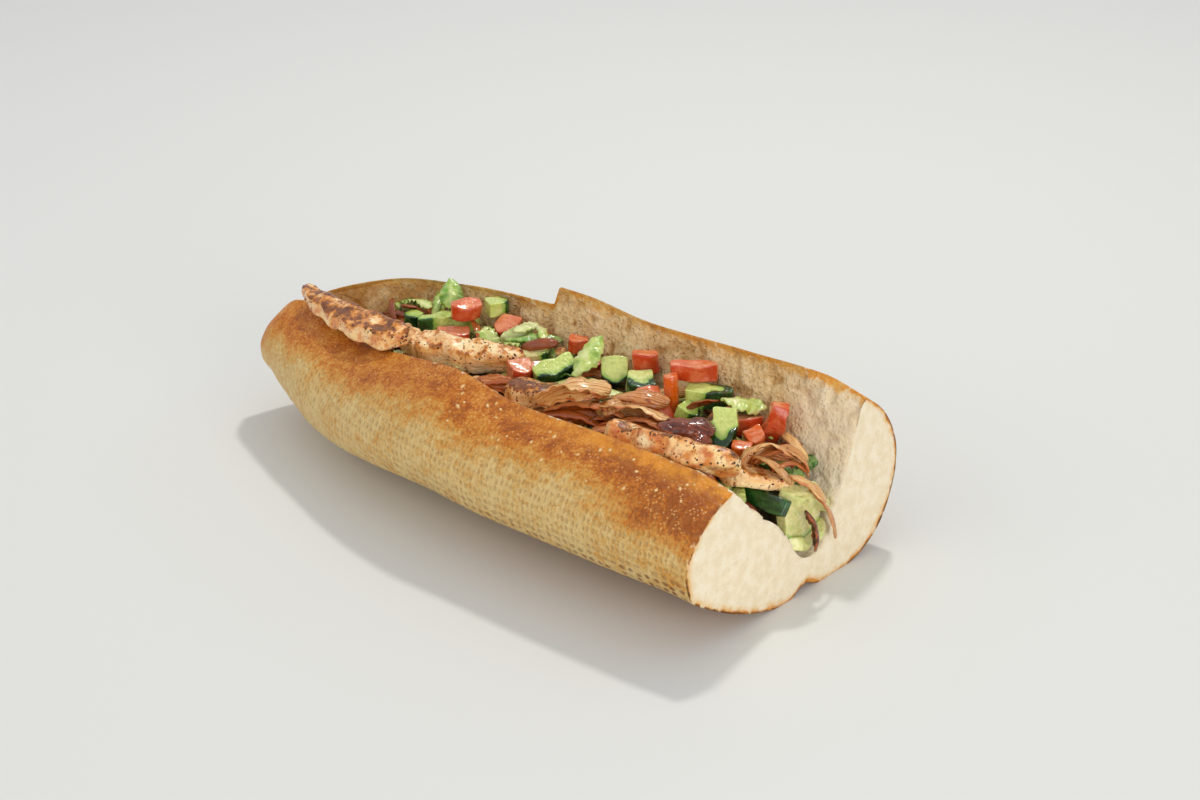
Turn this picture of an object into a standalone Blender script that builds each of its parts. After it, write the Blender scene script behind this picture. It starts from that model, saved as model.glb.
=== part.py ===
"""A submarine sandwich: half a long white roll, split along its length and laid open on its hinge,
filled with grilled chicken strips, diced cucumber and tomato, lettuce and fried onion.

Units are metres, +Z is up and the roll lies along X, its closed tip at -X and its cut end at +X.
The origin is on the table under the middle of the roll. The front half of the roll is on the -Y side.
"""

import math

import bmesh
import bpy
import numpy as np
from mathutils import Euler
from mathutils.bvhtree import BVHTree

MM = 0.001

# Driving sizes of the roll.
ROLL_LENGTH = 280 * MM
HALF_LENGTH = ROLL_LENGTH / 2
HINGE_Y = 8 * MM
HINGE_NOTCH = 4 * MM
STEP_X = -19 * MM
STEP_RUN = 4 * MM
STEP_HEIGHT = 9 * MM
STEP_DEPTH = 1 * MM
SWELL_X = -75 * MM
SWELL_RUN = 110 * MM
WALL_HOLLOW = 4 * MM
CRUST_LUMP = 0.5 * MM
CRUMB_CRAG = 0.9 * MM

# Sizes of the cross-section, in millimetres, at stations along the roll, from the tip to the cut end.
STATION_X = (-140, -134, -122, -100, -70, -35, 0, 30, 80, 120, 140)
FRONT_BULGE_Y = (-8, -17, -24, -35, -48, -58, -63, -65.5, -67, -67.5, -67.5)
BACK_BULGE_Y = (-7, 12, 28, 45, 57, 63, 66, 67, 67.5, 67.5, 67.5)
FRONT_RIM_Y = (-7, -5, -3, -9, -17, -26, -33, -35.5, -37, -38.5, -39)
FRONT_RIM_Z = (33, 45, 54, 54.5, 53.5, 60.5, 66.5, 63, 64, 64, 61)
BACK_RIM_Y = (-6, 1, 10, 31, 40, 44, 45, 45.5, 46, 46, 45)
BACK_RIM_Z = (33, 44.5, 53, 59, 62, 64, 64.5, 61.5, 62.5, 63.5, 60)
BELLY_Z = (32, 18, 10, 2.5, -0.4, -0.6, -0.6, -0.6, -0.6, -0.6, -0.6)
VALLEY_Z = (33, 44, 51.5, 39, 22, 17, 16, 16, 16, 16, 16)

# How finely the roll is divided.
ROLL_STATIONS = 39
OUTLINE_POINTS = 24

# The bed of chopped lettuce that fills the fold under the toppings.
BED_START_X = -98 * MM
BED_END_X = 118 * MM
BED_TOP_Z = 44 * MM
BED_END_TOP_Z = 38 * MM
BED_FALL_X = 100 * MM
BED_CLEARANCE = 1.8 * MM
BED_RIPPLE = 1.4 * MM
BED_STATIONS = 26
BED_POINTS = 7

# The chopped leaves that show on the bed between the toppings: length, width and thickness in millimetres.
SHRED_SIZES = ((14, 6, 1.5), (11, 8, 1.5), (17, 4, 1.6), (9, 7, 1.8))
SHRED_EVERY = 4.5 * MM
SHRED_SUNK = 1.2 * MM
MOST_SHREDS = 54

# Sizes of the pieces in millimetres: length along the piece's own X, width along its Y, thickness along its Z.
# A strip of chicken narrows toward its +X end by the share given next.
# Then the wanted place of its middle, and its turns in degrees about Z, Y and X.
# A piece of cucumber or tomato has its skin at its +X end.
CHICKEN = {
    "chicken_1": ((76, 13, 8), -0.3, (-82, -13, 59), (-12, -1, 8)),
    "chicken_2": ((56, 12, 12), 0.15, (-34, 3, 57), (22, 2, 20)),
    "chicken_3": ((26, 14, 9), 0.1, (13, -4, 48), (30, 0, 0)),
    "chicken_4": ((60, 17, 10), 0.0, (94, -21, 53), (4, -3, -32)),
    "chicken_5": ((30, 13, 6), 0.35, (122, -1, 45), (28, 8, -8)),
}
CUCUMBER = {
    "cucumber_1": ((7, 8, 8), (-77, 20, 53), (-90, 10, 0)),
    "cucumber_2": ((27, 9, 8), (-61, 26, 55), (241, 0, 8)),
    "cucumber_3": ((10, 8, 6), (-45, 39, 58), (60, 0, 0)),
    "cucumber_4": ((12, 9, 6), (-12, 24, 53), (35, -6, 0)),
    "cucumber_5": ((9, 18, 8), (6, 17, 52), (-20, 25, 15)),
    "cucumber_6": ((12, 11, 8), (25, 32, 54), (-50, 45, 0)),
    "cucumber_7": ((13, 11, 9), (42, 28, 53), (-45, 12, 0)),
    "cucumber_8": ((14, 7, 3), (12, 13, 49), (60, -8, 0)),
    "cucumber_9": ((11, 6, 3), (34, 24, 50), (30, 10, 0)),
    "cucumber_10": ((19, 9, 8), (72, 33, 54), (28, 0, 0)),
    "cucumber_11": ((18, 10, 8), (93, 15, 51), (-60, 38, 0)),
    "cucumber_12": ((9, 7, 6), (71, 26, 50), (0, 20, 0)),
    "cucumber_13": ((5, 20, 7), (127, -3, 37), (-90, -30, 0)),
    "cucumber_14": ((18, 22, 5), (135, 8, 28), (0, 84, 0)),
}
TOMATO = {
    "tomato_1": ((8, 14, 7), (-53, 19, 52), (-50, 15, 0)),
    "tomato_2": ((8, 13, 7), (-52, 31, 53), (-40, 10, 0)),
    "tomato_3": ((11, 10, 8), (-36, 35, 55), (-80, 25, 0)),
    "tomato_4": ((9, 9, 8), (-4, 8, 48), (-30, 20, 0)),
    "tomato_5": ((7, 8, 6), (2, 38, 57), (-60, 0, 0)),
    "tomato_6": ((7, 6, 6), (16, 31, 52), (-30, 10, 0)),
    "tomato_7": ((6, 11, 9), (40, 34, 56), (-50, 0, 0)),
    "tomato_8": ((9, 10, 8), (52, 27, 49), (-35, 25, 0)),
    "tomato_9": ((7, 19, 7), (63, 38, 58), (-50, 0, 0)),
    "tomato_10": ((6, 6, 17), (60, 30, 55), (-50, 0, 4)),
    "tomato_11": ((7, 14, 7), (96, 29, 50), (-45, 0, 0)),
    "tomato_12": ((7, 18, 7), (106, 33, 50), (-50, 10, 75)),
    "tomato_13": ((8, 8, 8), (104, 22, 46), (-20, 30, 20)),
    "tomato_14": ((7, 8, 7), (104, 12, 46), (-60, 10, 0)),
    "tomato_15": ((6, 7, 6), (-6, 15, 51), (-30, 20, 0)),
}

# Thin pieces: length, width and thickness, then in degrees how far each bends along its length, is cupped across
# it, and twists from end to end. The place and turns follow.
ONION = {
    "onion_1": ((32, 15, 1.3), (70, 60, 20), (32, 0, 54), (50, -6, 12)),
    "onion_2": ((34, 15, 1.6), (30, 170, 0), (40, -2, 51), (42, 0, 35)),
    "onion_3": ((34, 10, 1.5), (40, 110, 30), (62, 0, 51), (42, 0, 20)),
    "onion_4": ((24, 14, 1.6), (60, 150, 60), (86, 4, 53), (20, 0, 10)),
    "onion_8": ((24, 9, 1.5), (60, 80, 30), (52, 16, 51), (30, 0, 10)),
    "onion_9": ((26, 8, 1.5), (50, 70, 20), (-3, -2, 47), (25, 4, 20)),
    "onion_5": ((32, 9, 1.5), (150, 40, 30), (124, 11, 49), (35, 0, 0)),
    "onion_6": ((38, 6, 1.3), (70, 40, 50), (130, 9, 35), (0, 76, 0)),
    "onion_7": ((17, 3, 1.4), (40, 40, 20), (135, 20, 26), (60, 62, 0)),
}
LETTUCE = {
    "lettuce_1": ((14, 12, 1.2), (20, 110, 0), (-67, 33, 60), (130, -40, 0)),
    "lettuce_2": ((24, 7, 1.2), (30, 40, 60), (-18, 31, 56), (38, 0, 10)),
    "lettuce_3": ((22, 12, 1.2), (20, 100, 20), (16, 25, 57), (95, -30, 0)),
    "lettuce_4": ((18, 12, 1.2), (25, 70, 40), (91, 32, 56), (30, 8, 0)),
    "lettuce_5": ((13, 7, 1.2), (30, 40, 20), (-24, 33, 57), (80, 0, 0)),
}

# How far a piece may be moved from its wanted place to find room, and how far it may then sink to rest.
MOST_MOVED = 10 * MM
MOVE_STEP = 1.25 * MM
MOST_SUNK = 4 * MM
SINK_STEP = 0.5 * MM

# The order in which the pieces are put down.
PUT_DOWN = (
    "cucumber_14", "cucumber_13", "onion_6", "chicken_1", "chicken_2", "chicken_4", "chicken_5", "chicken_3",
    "cucumber_2", "cucumber_5", "cucumber_7", "cucumber_10", "cucumber_11", "tomato_7", "cucumber_6",
    "tomato_12", "tomato_1", "tomato_3", "tomato_9", "tomato_10", "tomato_11", "tomato_4", "cucumber_4",
    "onion_2", "onion_3", "onion_5", "onion_4", "cucumber_3", "cucumber_1", "tomato_2",
    "tomato_13", "tomato_8", "tomato_14", "tomato_5", "tomato_6", "tomato_15", "cucumber_12", "cucumber_8",
    "cucumber_9", "lettuce_3", "lettuce_1", "lettuce_4", "lettuce_2", "onion_1", "onion_8", "onion_9",
    "lettuce_5", "onion_7",
)

GAP = 0.3 * MM


def clear_scene():
    for thing in list(bpy.data.objects):
        bpy.data.objects.remove(thing)


def material(name, colour, roughness):
    made = bpy.data.materials.new(name)
    made.use_nodes = True
    shader = made.node_tree.nodes["Principled BSDF"]
    shader.inputs["Base Color"].default_value = (*colour, 1.0)
    shader.inputs["Roughness"].default_value = roughness
    shader.inputs["Metallic"].default_value = 0.0
    made.diffuse_color = (*colour, 1.0)
    return made


def add_object(name, points, faces, finish):
    mesh = bpy.data.meshes.new(name)
    mesh.from_pydata([tuple(p) for p in points], [], [tuple(f) for f in faces])
    mesh.validate()
    mesh.shade_smooth()
    mesh.set_sharp_from_angle(angle=math.radians(50))
    mesh.materials.append(finish)
    thing = bpy.data.objects.new(name, mesh)
    bpy.context.scene.collection.objects.link(thing)
    return thing


def smoothstep(t):
    t = np.clip(t, 0.0, 1.0)
    return t * t * (3 - 2 * t)


def along_roll(values, x):
    """A named size at x, on a smooth curve through the stations: each stretch is a cubic whose end slopes
    are the mean slopes about the stations, halved where the size would otherwise overshoot."""
    knots = np.array(STATION_X) * MM
    sizes = np.array(values, float) * MM
    slopes = np.diff(sizes) / np.diff(knots)
    ends = np.concatenate([[slopes[0]], (slopes[1:] + slopes[:-1]) / 2, [slopes[-1]]])
    limit = 2 * np.minimum(np.abs(np.append(slopes, slopes[-1])), np.abs(np.insert(slopes, 0, slopes[0])))
    ends = np.sign(ends) * np.minimum(np.abs(ends), limit)
    i = np.clip(np.searchsorted(knots, x) - 1, 0, len(knots) - 2)
    run = knots[i + 1] - knots[i]
    t = (x - knots[i]) / run
    return (
        (1 + 2 * t) * (1 - t) ** 2 * sizes[i]
        + t * (1 - t) ** 2 * run * ends[i]
        + t * t * (3 - 2 * t) * sizes[i + 1]
        + t * t * (t - 1) * run * ends[i + 1]
    )


def curve_through(points, count):
    """Evenly spaced points on the Catmull-Rom curve through a few points."""
    p = np.array(points, float)
    p = np.vstack([2 * p[0] - p[1], p, 2 * p[-1] - p[-2]])
    t = np.linspace(0, 1, 24, endpoint=False)[:, None]
    pieces = []
    for a, b, c, d in zip(p[:-3], p[1:-2], p[2:-1], p[3:]):
        pieces.append(
            0.5 * (2 * b + (c - a) * t + (2 * a - 5 * b + 4 * c - d) * t**2 + (3 * b - a - 3 * c + d) * t**3)
        )
    fine = np.vstack([*pieces, p[-2]])
    lengths = np.insert(np.cumsum(np.linalg.norm(np.diff(fine, axis=0), axis=1)), 0, 0.0)
    at = np.linspace(0, lengths[-1], count)
    return np.stack([np.interp(at, lengths, fine[:, k]) for k in range(fine.shape[1])], axis=1)


class Section:
    """The named sizes of the roll's cross-section at x, in metres."""

    def __init__(self, x):
        self.x = x
        self.front_bulge = along_roll(FRONT_BULGE_Y, x)
        self.back_bulge = along_roll(BACK_BULGE_Y, x)
        self.front_rim = np.array([along_roll(FRONT_RIM_Y, x), along_roll(FRONT_RIM_Z, x)])
        self.step = smoothstep((x - STEP_X) / STEP_RUN)
        self.back_rim = np.array(
            [along_roll(BACK_RIM_Y, x), along_roll(BACK_RIM_Z, x) + STEP_HEIGHT * self.step]
        )
        # The crust below the rim rises more slowly than the step at the rim itself.
        self.back_height = along_roll(BACK_RIM_Z, x) + STEP_HEIGHT * smoothstep((x - SWELL_X) / SWELL_RUN)
        self.belly = along_roll(BELLY_Z, x)
        self.valley = along_roll(VALLEY_Z, x)
        # 1 where the roll is full, and 0 at its closed tip.
        self.fullness = smoothstep((x + HALF_LENGTH) / (45 * MM))

    def outer(self, count):
        """The crust's outline, from the front rim down, under the hinge and up to the back rim."""
        middle = (self.front_bulge + self.back_bulge) / 2
        hinge = HINGE_Y * self.fullness + middle * (1 - self.fullness)
        notch = HINGE_NOTCH * self.fullness
        front = self.front_bulge - hinge
        back = self.back_bulge - hinge
        rise_front = self.front_rim[1] - self.belly
        rise_back = self.back_height - self.belly
        rim_in = self.front_rim[0] - self.front_bulge
        rim_out = self.back_rim[0] - self.back_bulge
        return curve_through(
            [
                self.front_rim,
                (self.front_bulge + 0.42 * rim_in, self.belly + 0.87 * rise_front),
                (self.front_bulge + 0.06 * rim_in, self.belly + 0.66 * rise_front),
                (hinge + 0.95 * front, self.belly + 0.44 * rise_front),
                (hinge + 0.82 * front, self.belly + 0.31 * rise_front),
                (hinge + 0.58 * front, self.belly + 0.15 * rise_front),
                (hinge + 0.36 * front, self.belly + 0.05 * rise_front),
                (hinge + 0.15 * front, self.belly),
                (hinge, self.belly + notch),
                (hinge + 0.20 * back, self.belly),
                (hinge + 0.56 * back, self.belly + 0.02 * rise_back),
                (hinge + 0.82 * back, self.belly + 0.14 * rise_back),
                (hinge + 0.98 * back, self.belly + 0.36 * rise_back),
                (self.back_bulge + 0.03 * rim_out, self.belly + 0.60 * rise_back),
                (self.back_bulge + 0.42 * rim_out, self.belly + 0.84 * rise_back),
                self.back_rim,
            ],
            count,
        )

    def inner(self, count):
        """The torn crumb's outline, from the front rim down the cut face, over the valley and up the back wall."""
        hollow = WALL_HOLLOW * smoothstep((HALF_LENGTH - self.x) / (45 * MM))
        recess = (hollow + STEP_DEPTH * (1 - self.step)) * self.fullness
        front_floor = np.array([HINGE_Y - 2 * MM, self.valley])
        back_floor = np.array([HINGE_Y + 11 * MM, self.valley - 1 * MM * self.fullness])
        narrow = self.fullness
        front_floor[0] = narrow * front_floor[0] + (1 - narrow) * self.front_rim[0]
        back_floor[0] = narrow * back_floor[0] + (1 - narrow) * self.back_rim[0]
        drop_front = self.front_rim - front_floor
        drop_back = self.back_rim - back_floor
        return curve_through(
            [
                self.front_rim,
                front_floor + 0.66 * drop_front + np.array([0, 1 * MM]) * self.fullness,
                front_floor + 0.30 * drop_front + np.array([0, 3 * MM]) * self.fullness,
                front_floor,
                back_floor,
                back_floor + 0.30 * drop_back + np.array([recess / 2, 0]),
                back_floor + 0.66 * drop_back + np.array([recess, 0]),
                back_floor + 0.90 * drop_back + np.array([recess - 2 * MM * self.fullness, 0]),
                self.back_rim,
            ],
            count,
        )


def ripple(x, v, waves, seed):
    """A smooth uneven pattern in about -1 to 1, a seeded sum of waves over x and v, both in metres."""
    random = np.random.default_rng(seed)
    total = np.zeros(np.broadcast(x, v).shape)
    for wavelength in waves:
        angle, phase = random.uniform(0, math.tau, 2)
        total = total + np.sin(math.tau * (x * math.cos(angle) + v * math.sin(angle)) / wavelength + phase)
    return total / len(waves)


def roll_stations():
    """Places of the cross-sections along X, closer together at the tip and at the step in the back rim."""
    tip = -HALF_LENGTH + 45 * MM * (1 - np.cos(np.linspace(0.22, math.pi / 2, 10)))
    body = np.linspace(tip[-1], HALF_LENGTH, ROLL_STATIONS - len(tip) - 2)[1:]
    step = STEP_X + np.array([-0.5, 0.0, 0.5, 1.0, 1.5]) * STEP_RUN
    body = body[np.abs(body - STEP_X - STEP_RUN / 2) > STEP_RUN]
    return np.sort(np.concatenate([tip, body, step]))


def roll_shape():
    """Points and faces of the roll: rings of outer and inner outline, a pole at the tip and a ruled cut face."""
    stations = roll_stations()
    rings = []
    for x in stations:
        section = Section(x)
        outer = section.outer(OUTLINE_POINTS)
        inner = section.inner(OUTLINE_POINTS)
        lump = CRUST_LUMP * ripple(x, np.linspace(0, 0.25, OUTLINE_POINTS), (0.031, 0.047, 0.022), 3)
        crag = CRUMB_CRAG * ripple(x, np.linspace(0, 0.13, OUTLINE_POINTS), (0.017, 0.023, 0.013), 5)
        fade = np.sin(np.linspace(0, math.pi, OUTLINE_POINTS)) * section.fullness
        outward = (outer - outer.mean(axis=0)) / np.linalg.norm(outer - outer.mean(axis=0), axis=1)[:, None]
        outer = outer + outward * (lump * fade)[:, None]
        inner = inner + np.stack([crag * fade * 0.7, crag * fade * 0.7], axis=1)
        ring = np.vstack([outer, inner[-2:0:-1]])
        ring[:, 1] = np.maximum(ring[:, 1], 0.0)
        rings.append(np.column_stack([np.full(len(ring), x), ring]))
    size = len(rings[0])
    tip_section = Section(-HALF_LENGTH)
    tip = [-HALF_LENGTH, tip_section.front_rim[0], tip_section.front_rim[1]]
    points = np.vstack([*rings, [tip]])
    pole = len(points) - 1
    faces = [(pole, (i + 1) % size, i) for i in range(size)]
    for row in range(len(rings) - 1):
        a, b = row * size, (row + 1) * size
        faces += [(a + i, a + (i + 1) % size, b + (i + 1) % size) for i in range(size)]
        faces += [(a + i, b + (i + 1) % size, b + i) for i in range(size)]
    last = (len(rings) - 1) * size
    n = OUTLINE_POINTS
    faces.append((last, last + 1, last + size - 1))
    faces += [(last + i, last + i + 1, last + size - i - 1, last + size - i) for i in range(1, n - 2)]
    faces.append((last + n - 2, last + n - 1, last + n))
    return points, faces


def closed_tube(rings, start, end):
    """Points and faces of a closed shape: rings of points, first to last, with a pole at either end."""
    count, size = rings.shape[:2]
    points = np.vstack([rings.reshape(-1, 3), [start], [end]])
    first, last = count * size, count * size + 1
    after = (np.arange(size) + 1) % size
    faces = [(first, after[i], i) for i in range(size)]
    for row in range(count - 1):
        a, b = row * size, (row + 1) * size
        faces += [(a + i, a + after[i], b + after[i]) for i in range(size)]
        faces += [(a + i, b + after[i], b + i) for i in range(size)]
    a = (count - 1) * size
    faces += [(last, a + i, a + after[i]) for i in range(size)]
    return points, [tuple(int(k) for k in face) for face in faces]


def block(size, skin, seed, sides=12):
    """A diced piece: its outline in X and Y is a rounded box whose +X side bulges as the skin does, and that
    outline shrinks a little at its top and bottom faces."""
    length, width, thickness = np.array(size) * MM
    angle = np.linspace(0, math.tau, sides, endpoint=False)
    walls = [(0, 0.5), (skin, 0.5), (-skin, 0.5), (90, 0.5), (180, 0.5), (270, 0.5)]
    wall_sum = sum(np.maximum(0, np.cos(angle - math.radians(a)) / d) ** 10 for a, d in walls)
    radius = wall_sum**-0.1
    outline = np.stack([length * radius * np.cos(angle), width * radius * np.sin(angle)], axis=1)
    levels = ((-0.5, 0.90), (-0.42, 1.0), (0.42, 1.0), (0.5, 0.90))
    rings = []
    for height, scale in levels:
        ring = np.column_stack([outline * scale, np.full(sides, height * thickness)])
        rings.append(ring)
    points, faces = closed_tube(np.array(rings), (0, 0, -0.5 * thickness), (0, 0, 0.5 * thickness))
    return roughened(points, 0.05 * min(length, width, thickness), 9 * MM, seed), faces


def roughened(points, amount, wavelength, seed):
    """Points moved by a seeded sum of three slow waves in each direction."""
    random = np.random.default_rng(seed)
    moved = points.copy()
    for axis in range(3):
        for _ in range(3):
            way = random.normal(size=3)
            way /= np.linalg.norm(way)
            phase = random.uniform(0, math.tau)
            moved[:, axis] += amount / 1.7 * np.sin(math.tau * (points @ way) / wavelength + phase)
    return moved


def strip_of_meat(size, taper, seed, rings=15, sides=12):
    """A strip of chicken: a rounded slab, blunt at its ends, narrowing by the taper toward +X, with lumps."""
    length, width, thickness = np.array(size) * MM
    along = np.cos(np.linspace(math.pi, 0, rings + 2))[1:-1]
    angle = np.linspace(0, math.tau, sides, endpoint=False)
    across = np.sign(np.cos(angle)) * np.abs(np.cos(angle)) ** 0.7
    up = np.sign(np.sin(angle)) * np.abs(np.sin(angle)) ** 0.7
    bend = 0.05 * length
    shape = []
    for t in along:
        full = (1 - abs(t) ** 5) ** 0.5 * (1 - taper * t)
        ring = np.stack(
            [
                np.full(sides, t * length / 2),
                across * width / 2 * full + bend * (t * t - 0.3),
                up * thickness / 2 * full**0.7,
            ],
            axis=1,
        )
        shape.append(ring)
    ends = [(side * length / 2, 0.7 * bend, 0) for side in (-1, 1)]
    points, faces = closed_tube(np.array(shape), *ends)
    return roughened(points, 0.06 * width, 14 * MM, seed), faces


def sheet(size, form, seed, pointed, rows=10, columns=5):
    """A thin wavy piece: a sheet narrowed to its ends, cupped across its width, twisted and bent along its length.
    Both faces are divided into the same triangles."""
    length, width, thickness = np.array(size) * MM
    bend, cup, twist = np.radians(form)
    u = np.linspace(-1, 1, rows)[:, None] * np.ones(columns)
    v = np.ones(rows)[:, None] * np.linspace(-1, 1, columns)

    def surface(u, v):
        breadth = width / 2 * (1 - 0.92 * np.abs(u) ** pointed) ** 0.75
        turn = cup / 2 * v
        y = breadth * np.sin(turn) / (cup / 2)
        z = -breadth * (1 - np.cos(turn)) / (cup / 2)
        z = z + 0.05 * width * np.sin(7 * u + seed) * v
        spin = twist / 2 * u
        y, z = y * np.cos(spin) - z * np.sin(spin), y * np.sin(spin) + z * np.cos(spin)
        radius = length / bend
        return np.stack(
            [(radius + z) * np.sin(bend * u / 2), y, (radius + z) * np.cos(bend * u / 2) - radius], axis=-1
        )

    step = 1e-4
    middle = surface(u, v)
    normal = np.cross(surface(u + step, v) - surface(u - step, v), surface(u, v + step) - surface(u, v - step))
    normal /= np.linalg.norm(normal, axis=-1, keepdims=True)
    top = (middle + normal * thickness / 2).reshape(-1, 3)
    bottom = (middle - normal * thickness / 2).reshape(-1, 3)
    n = rows * columns
    faces = []
    for i in range(rows - 1):
        for j in range(columns - 1):
            a, b = i * columns + j, (i + 1) * columns + j
            faces += [(a, b, b + 1), (a, b + 1, a + 1)]
            faces += [(n + b + 1, n + b, n + a), (n + a + 1, n + b + 1, n + a)]
    edge = [j for j in range(columns)]
    edge += [i * columns + columns - 1 for i in range(1, rows)]
    edge += [(rows - 1) * columns + j for j in range(columns - 2, -1, -1)]
    edge += [i * columns for i in range(rows - 2, 0, -1)]
    for k, a in enumerate(edge):
        b = edge[(k + 1) % len(edge)]
        faces += [(a, b, n + b), (a, n + b, n + a)]
    return np.vstack([top, bottom]), faces


def bed_shape():
    """The chopped lettuce: it follows the crumb a little way off, and its top ripples and falls at the cut end."""
    stations = np.linspace(BED_START_X, BED_END_X, BED_STATIONS)
    rings = []
    for x in stations:
        section = Section(x)
        inner = section.inner(60)
        fall = smoothstep((x - BED_FALL_X) / (BED_END_X - BED_FALL_X))
        top = BED_TOP_Z + (BED_END_TOP_Z - BED_TOP_Z) * fall
        floor = inner[inner[:, 1].argmin()]
        top = max(top, floor[1] + 5 * MM)
        under = inner[inner[:, 1] < top]
        low, high = under[0, 0], under[-1, 0]
        share = np.linspace(0, 1, BED_POINTS)
        y = low + (high - low) * share
        z = np.interp(y, inner[:, 0], inner[:, 1])
        middle = (low + high) / 2
        y = middle + (y - middle) * (1 - 2 * BED_CLEARANCE / (high - low))
        z = np.minimum(z + BED_CLEARANCE, top - 1 * MM)
        ripples = BED_RIPPLE * ripple(x, y, (0.019, 0.012, 0.027), 8)
        above = np.stack([y, top + ripples], axis=1)[::-1]
        ring = np.vstack([np.stack([y, z], axis=1), above])
        rings.append(np.column_stack([np.full(len(ring), x), ring]))
    rings = np.array(rings)
    ends = rings[[0, -1]].mean(axis=1)
    return closed_tube(rings, *ends)


class Heap:
    """The pieces already in place. A new piece goes to the free place nearest to the wanted one, and then sinks."""

    def __init__(self):
        self.placed = {}
        reach = np.arange(-MOST_MOVED, MOST_MOVED + MOVE_STEP / 2, MOVE_STEP)
        moves = np.stack(np.meshgrid(reach, reach, reach, indexing="ij"), axis=-1).reshape(-1, 3)
        cost = np.linalg.norm(moves, axis=1) + 0.2 * np.abs(moves[:, 0]) + 0.6 * np.maximum(0, -moves[:, 2])
        near = cost < MOST_MOVED
        self.moves = moves[near][np.argsort(cost[near], kind="stable")]

    def add(self, name, points, faces):
        tree = BVHTree.FromPolygons([tuple(p) for p in points], faces)
        self.placed[name] = (tree, points.min(axis=0), points.max(axis=0))

    def is_free(self, points, faces, besides=""):
        low, high = points.min(axis=0), points.max(axis=0)
        near = [
            tree
            for name, (tree, least, most) in self.placed.items()
            if name != besides and (low < most).all() and (least < high).all()
        ]
        if not near:
            return True
        piece = BVHTree.FromPolygons([tuple(p) for p in points], faces)
        if any(piece.overlap(tree) for tree in near):
            return False
        for tree in near:
            found, normal, _, _ = tree.find_nearest(points[0])
            if (points[0] - np.array(found)) @ np.array(normal) < 0:
                return False
        return True

    def room_for(self, points, faces):
        """The shift that brings the piece to its place, or None where there's no room near it."""
        for move in self.moves:
            if self.is_free(points + move, faces):
                sunk = 0.0
                while sunk < MOST_SUNK and self.is_free(points + move - (0, 0, sunk + SINK_STEP), faces):
                    sunk += SINK_STEP
                return move - (0, 0, sunk)
        return None


def grown(points, faces, by):
    """Points moved outward along the mean normals of their faces."""
    mesh = bpy.data.meshes.new("grown")
    mesh.from_pydata([tuple(p) for p in points], [], faces)
    mesh.update()
    normals = np.array([tuple(vertex.normal) for vertex in mesh.vertices])
    bpy.data.meshes.remove(mesh)
    return points + normals * by


def shreds(heap):
    """Shapes of the chopped leaves that stand in the bed, each rooted in its top and clear of every other piece."""
    random = np.random.default_rng(21)
    bed, low, high = heap.placed["lettuce_bed"]
    found = []
    for x in np.arange(low[0] + 7 * MM, high[0] - 4 * MM, SHRED_EVERY):
        for y in np.arange(low[1] + 3 * MM, high[1] - 2 * MM, SHRED_EVERY):
            at = np.array([x, y]) + random.uniform(-2, 2, 2) * MM
            size = SHRED_SIZES[random.integers(len(SHRED_SIZES))]
            form = (random.uniform(20, 110), random.uniform(30, 120), random.uniform(-70, 70))
            yaw, pitch, roll = (random.uniform(-math.pi, math.pi), random.uniform(-0.9, 0.9), random.uniform(-1, 1))
            top = bed.ray_cast((*at, 0.1), (0, 0, -1))[0]
            if top is None:
                continue
            points, faces = sheet(size, form, int(random.integers(99)), 2.5, rows=3, columns=2)
            points = points @ np.array(Euler((roll, pitch, yaw)).to_matrix()).T
            points = points - np.array([*points.mean(axis=0)[:2], points[:, 2].min()])
            points = points + np.array([*at, top[2] - SHRED_SUNK])
            if heap.is_free(grown(points, faces, 2 * GAP), faces, besides="lettuce_bed"):
                heap.add(f"shred_{len(found)}", points, faces)
                found.append((points, faces))
    if len(found) > MOST_SHREDS:
        found = [found[i] for i in np.linspace(0, len(found) - 1, MOST_SHREDS).astype(int)]
    return found


def fuse(thing, shapes):
    """One Boolean union joins the shapes to the thing, and the shapes' own objects are removed."""
    bits = bpy.data.collections.new("bits")
    bpy.context.scene.collection.children.link(bits)
    for i, (points, faces) in enumerate(shapes):
        bit = add_object(f"bit_{i}", points, faces, thing.data.materials[0])
        bpy.context.scene.collection.objects.unlink(bit)
        bits.objects.link(bit)
    union = thing.modifiers.new("union", "BOOLEAN")
    union.operation = "UNION"
    union.operand_type = "COLLECTION"
    union.collection = bits
    union.solver = "MANIFOLD"
    with bpy.context.temp_override(object=thing, active_object=thing):
        bpy.ops.object.modifier_apply(modifier=union.name)
    for bit in list(bits.objects):
        bpy.data.objects.remove(bit)
    bpy.data.collections.remove(bits)
    keep_largest_shell(thing.data)


def keep_largest_shell(mesh):
    """Fills the hollows that fusing seals and drops loose scraps: only the largest connected shell stays."""
    form = bmesh.new()
    form.from_mesh(mesh)
    unseen = set(form.verts)
    shells = []
    while unseen:
        shell = set()
        edge_of_shell = [unseen.pop()]
        while edge_of_shell:
            vertex = edge_of_shell.pop()
            shell.add(vertex)
            for edge in vertex.link_edges:
                other = edge.other_vert(vertex)
                if other in unseen:
                    unseen.remove(other)
                    edge_of_shell.append(other)
        shells.append(shell)
    largest = max(shells, key=len)
    extra = [vertex for shell in shells if shell is not largest for vertex in shell]
    bmesh.ops.delete(form, geom=extra, context="VERTS")
    form.to_mesh(mesh)
    form.free()


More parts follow.
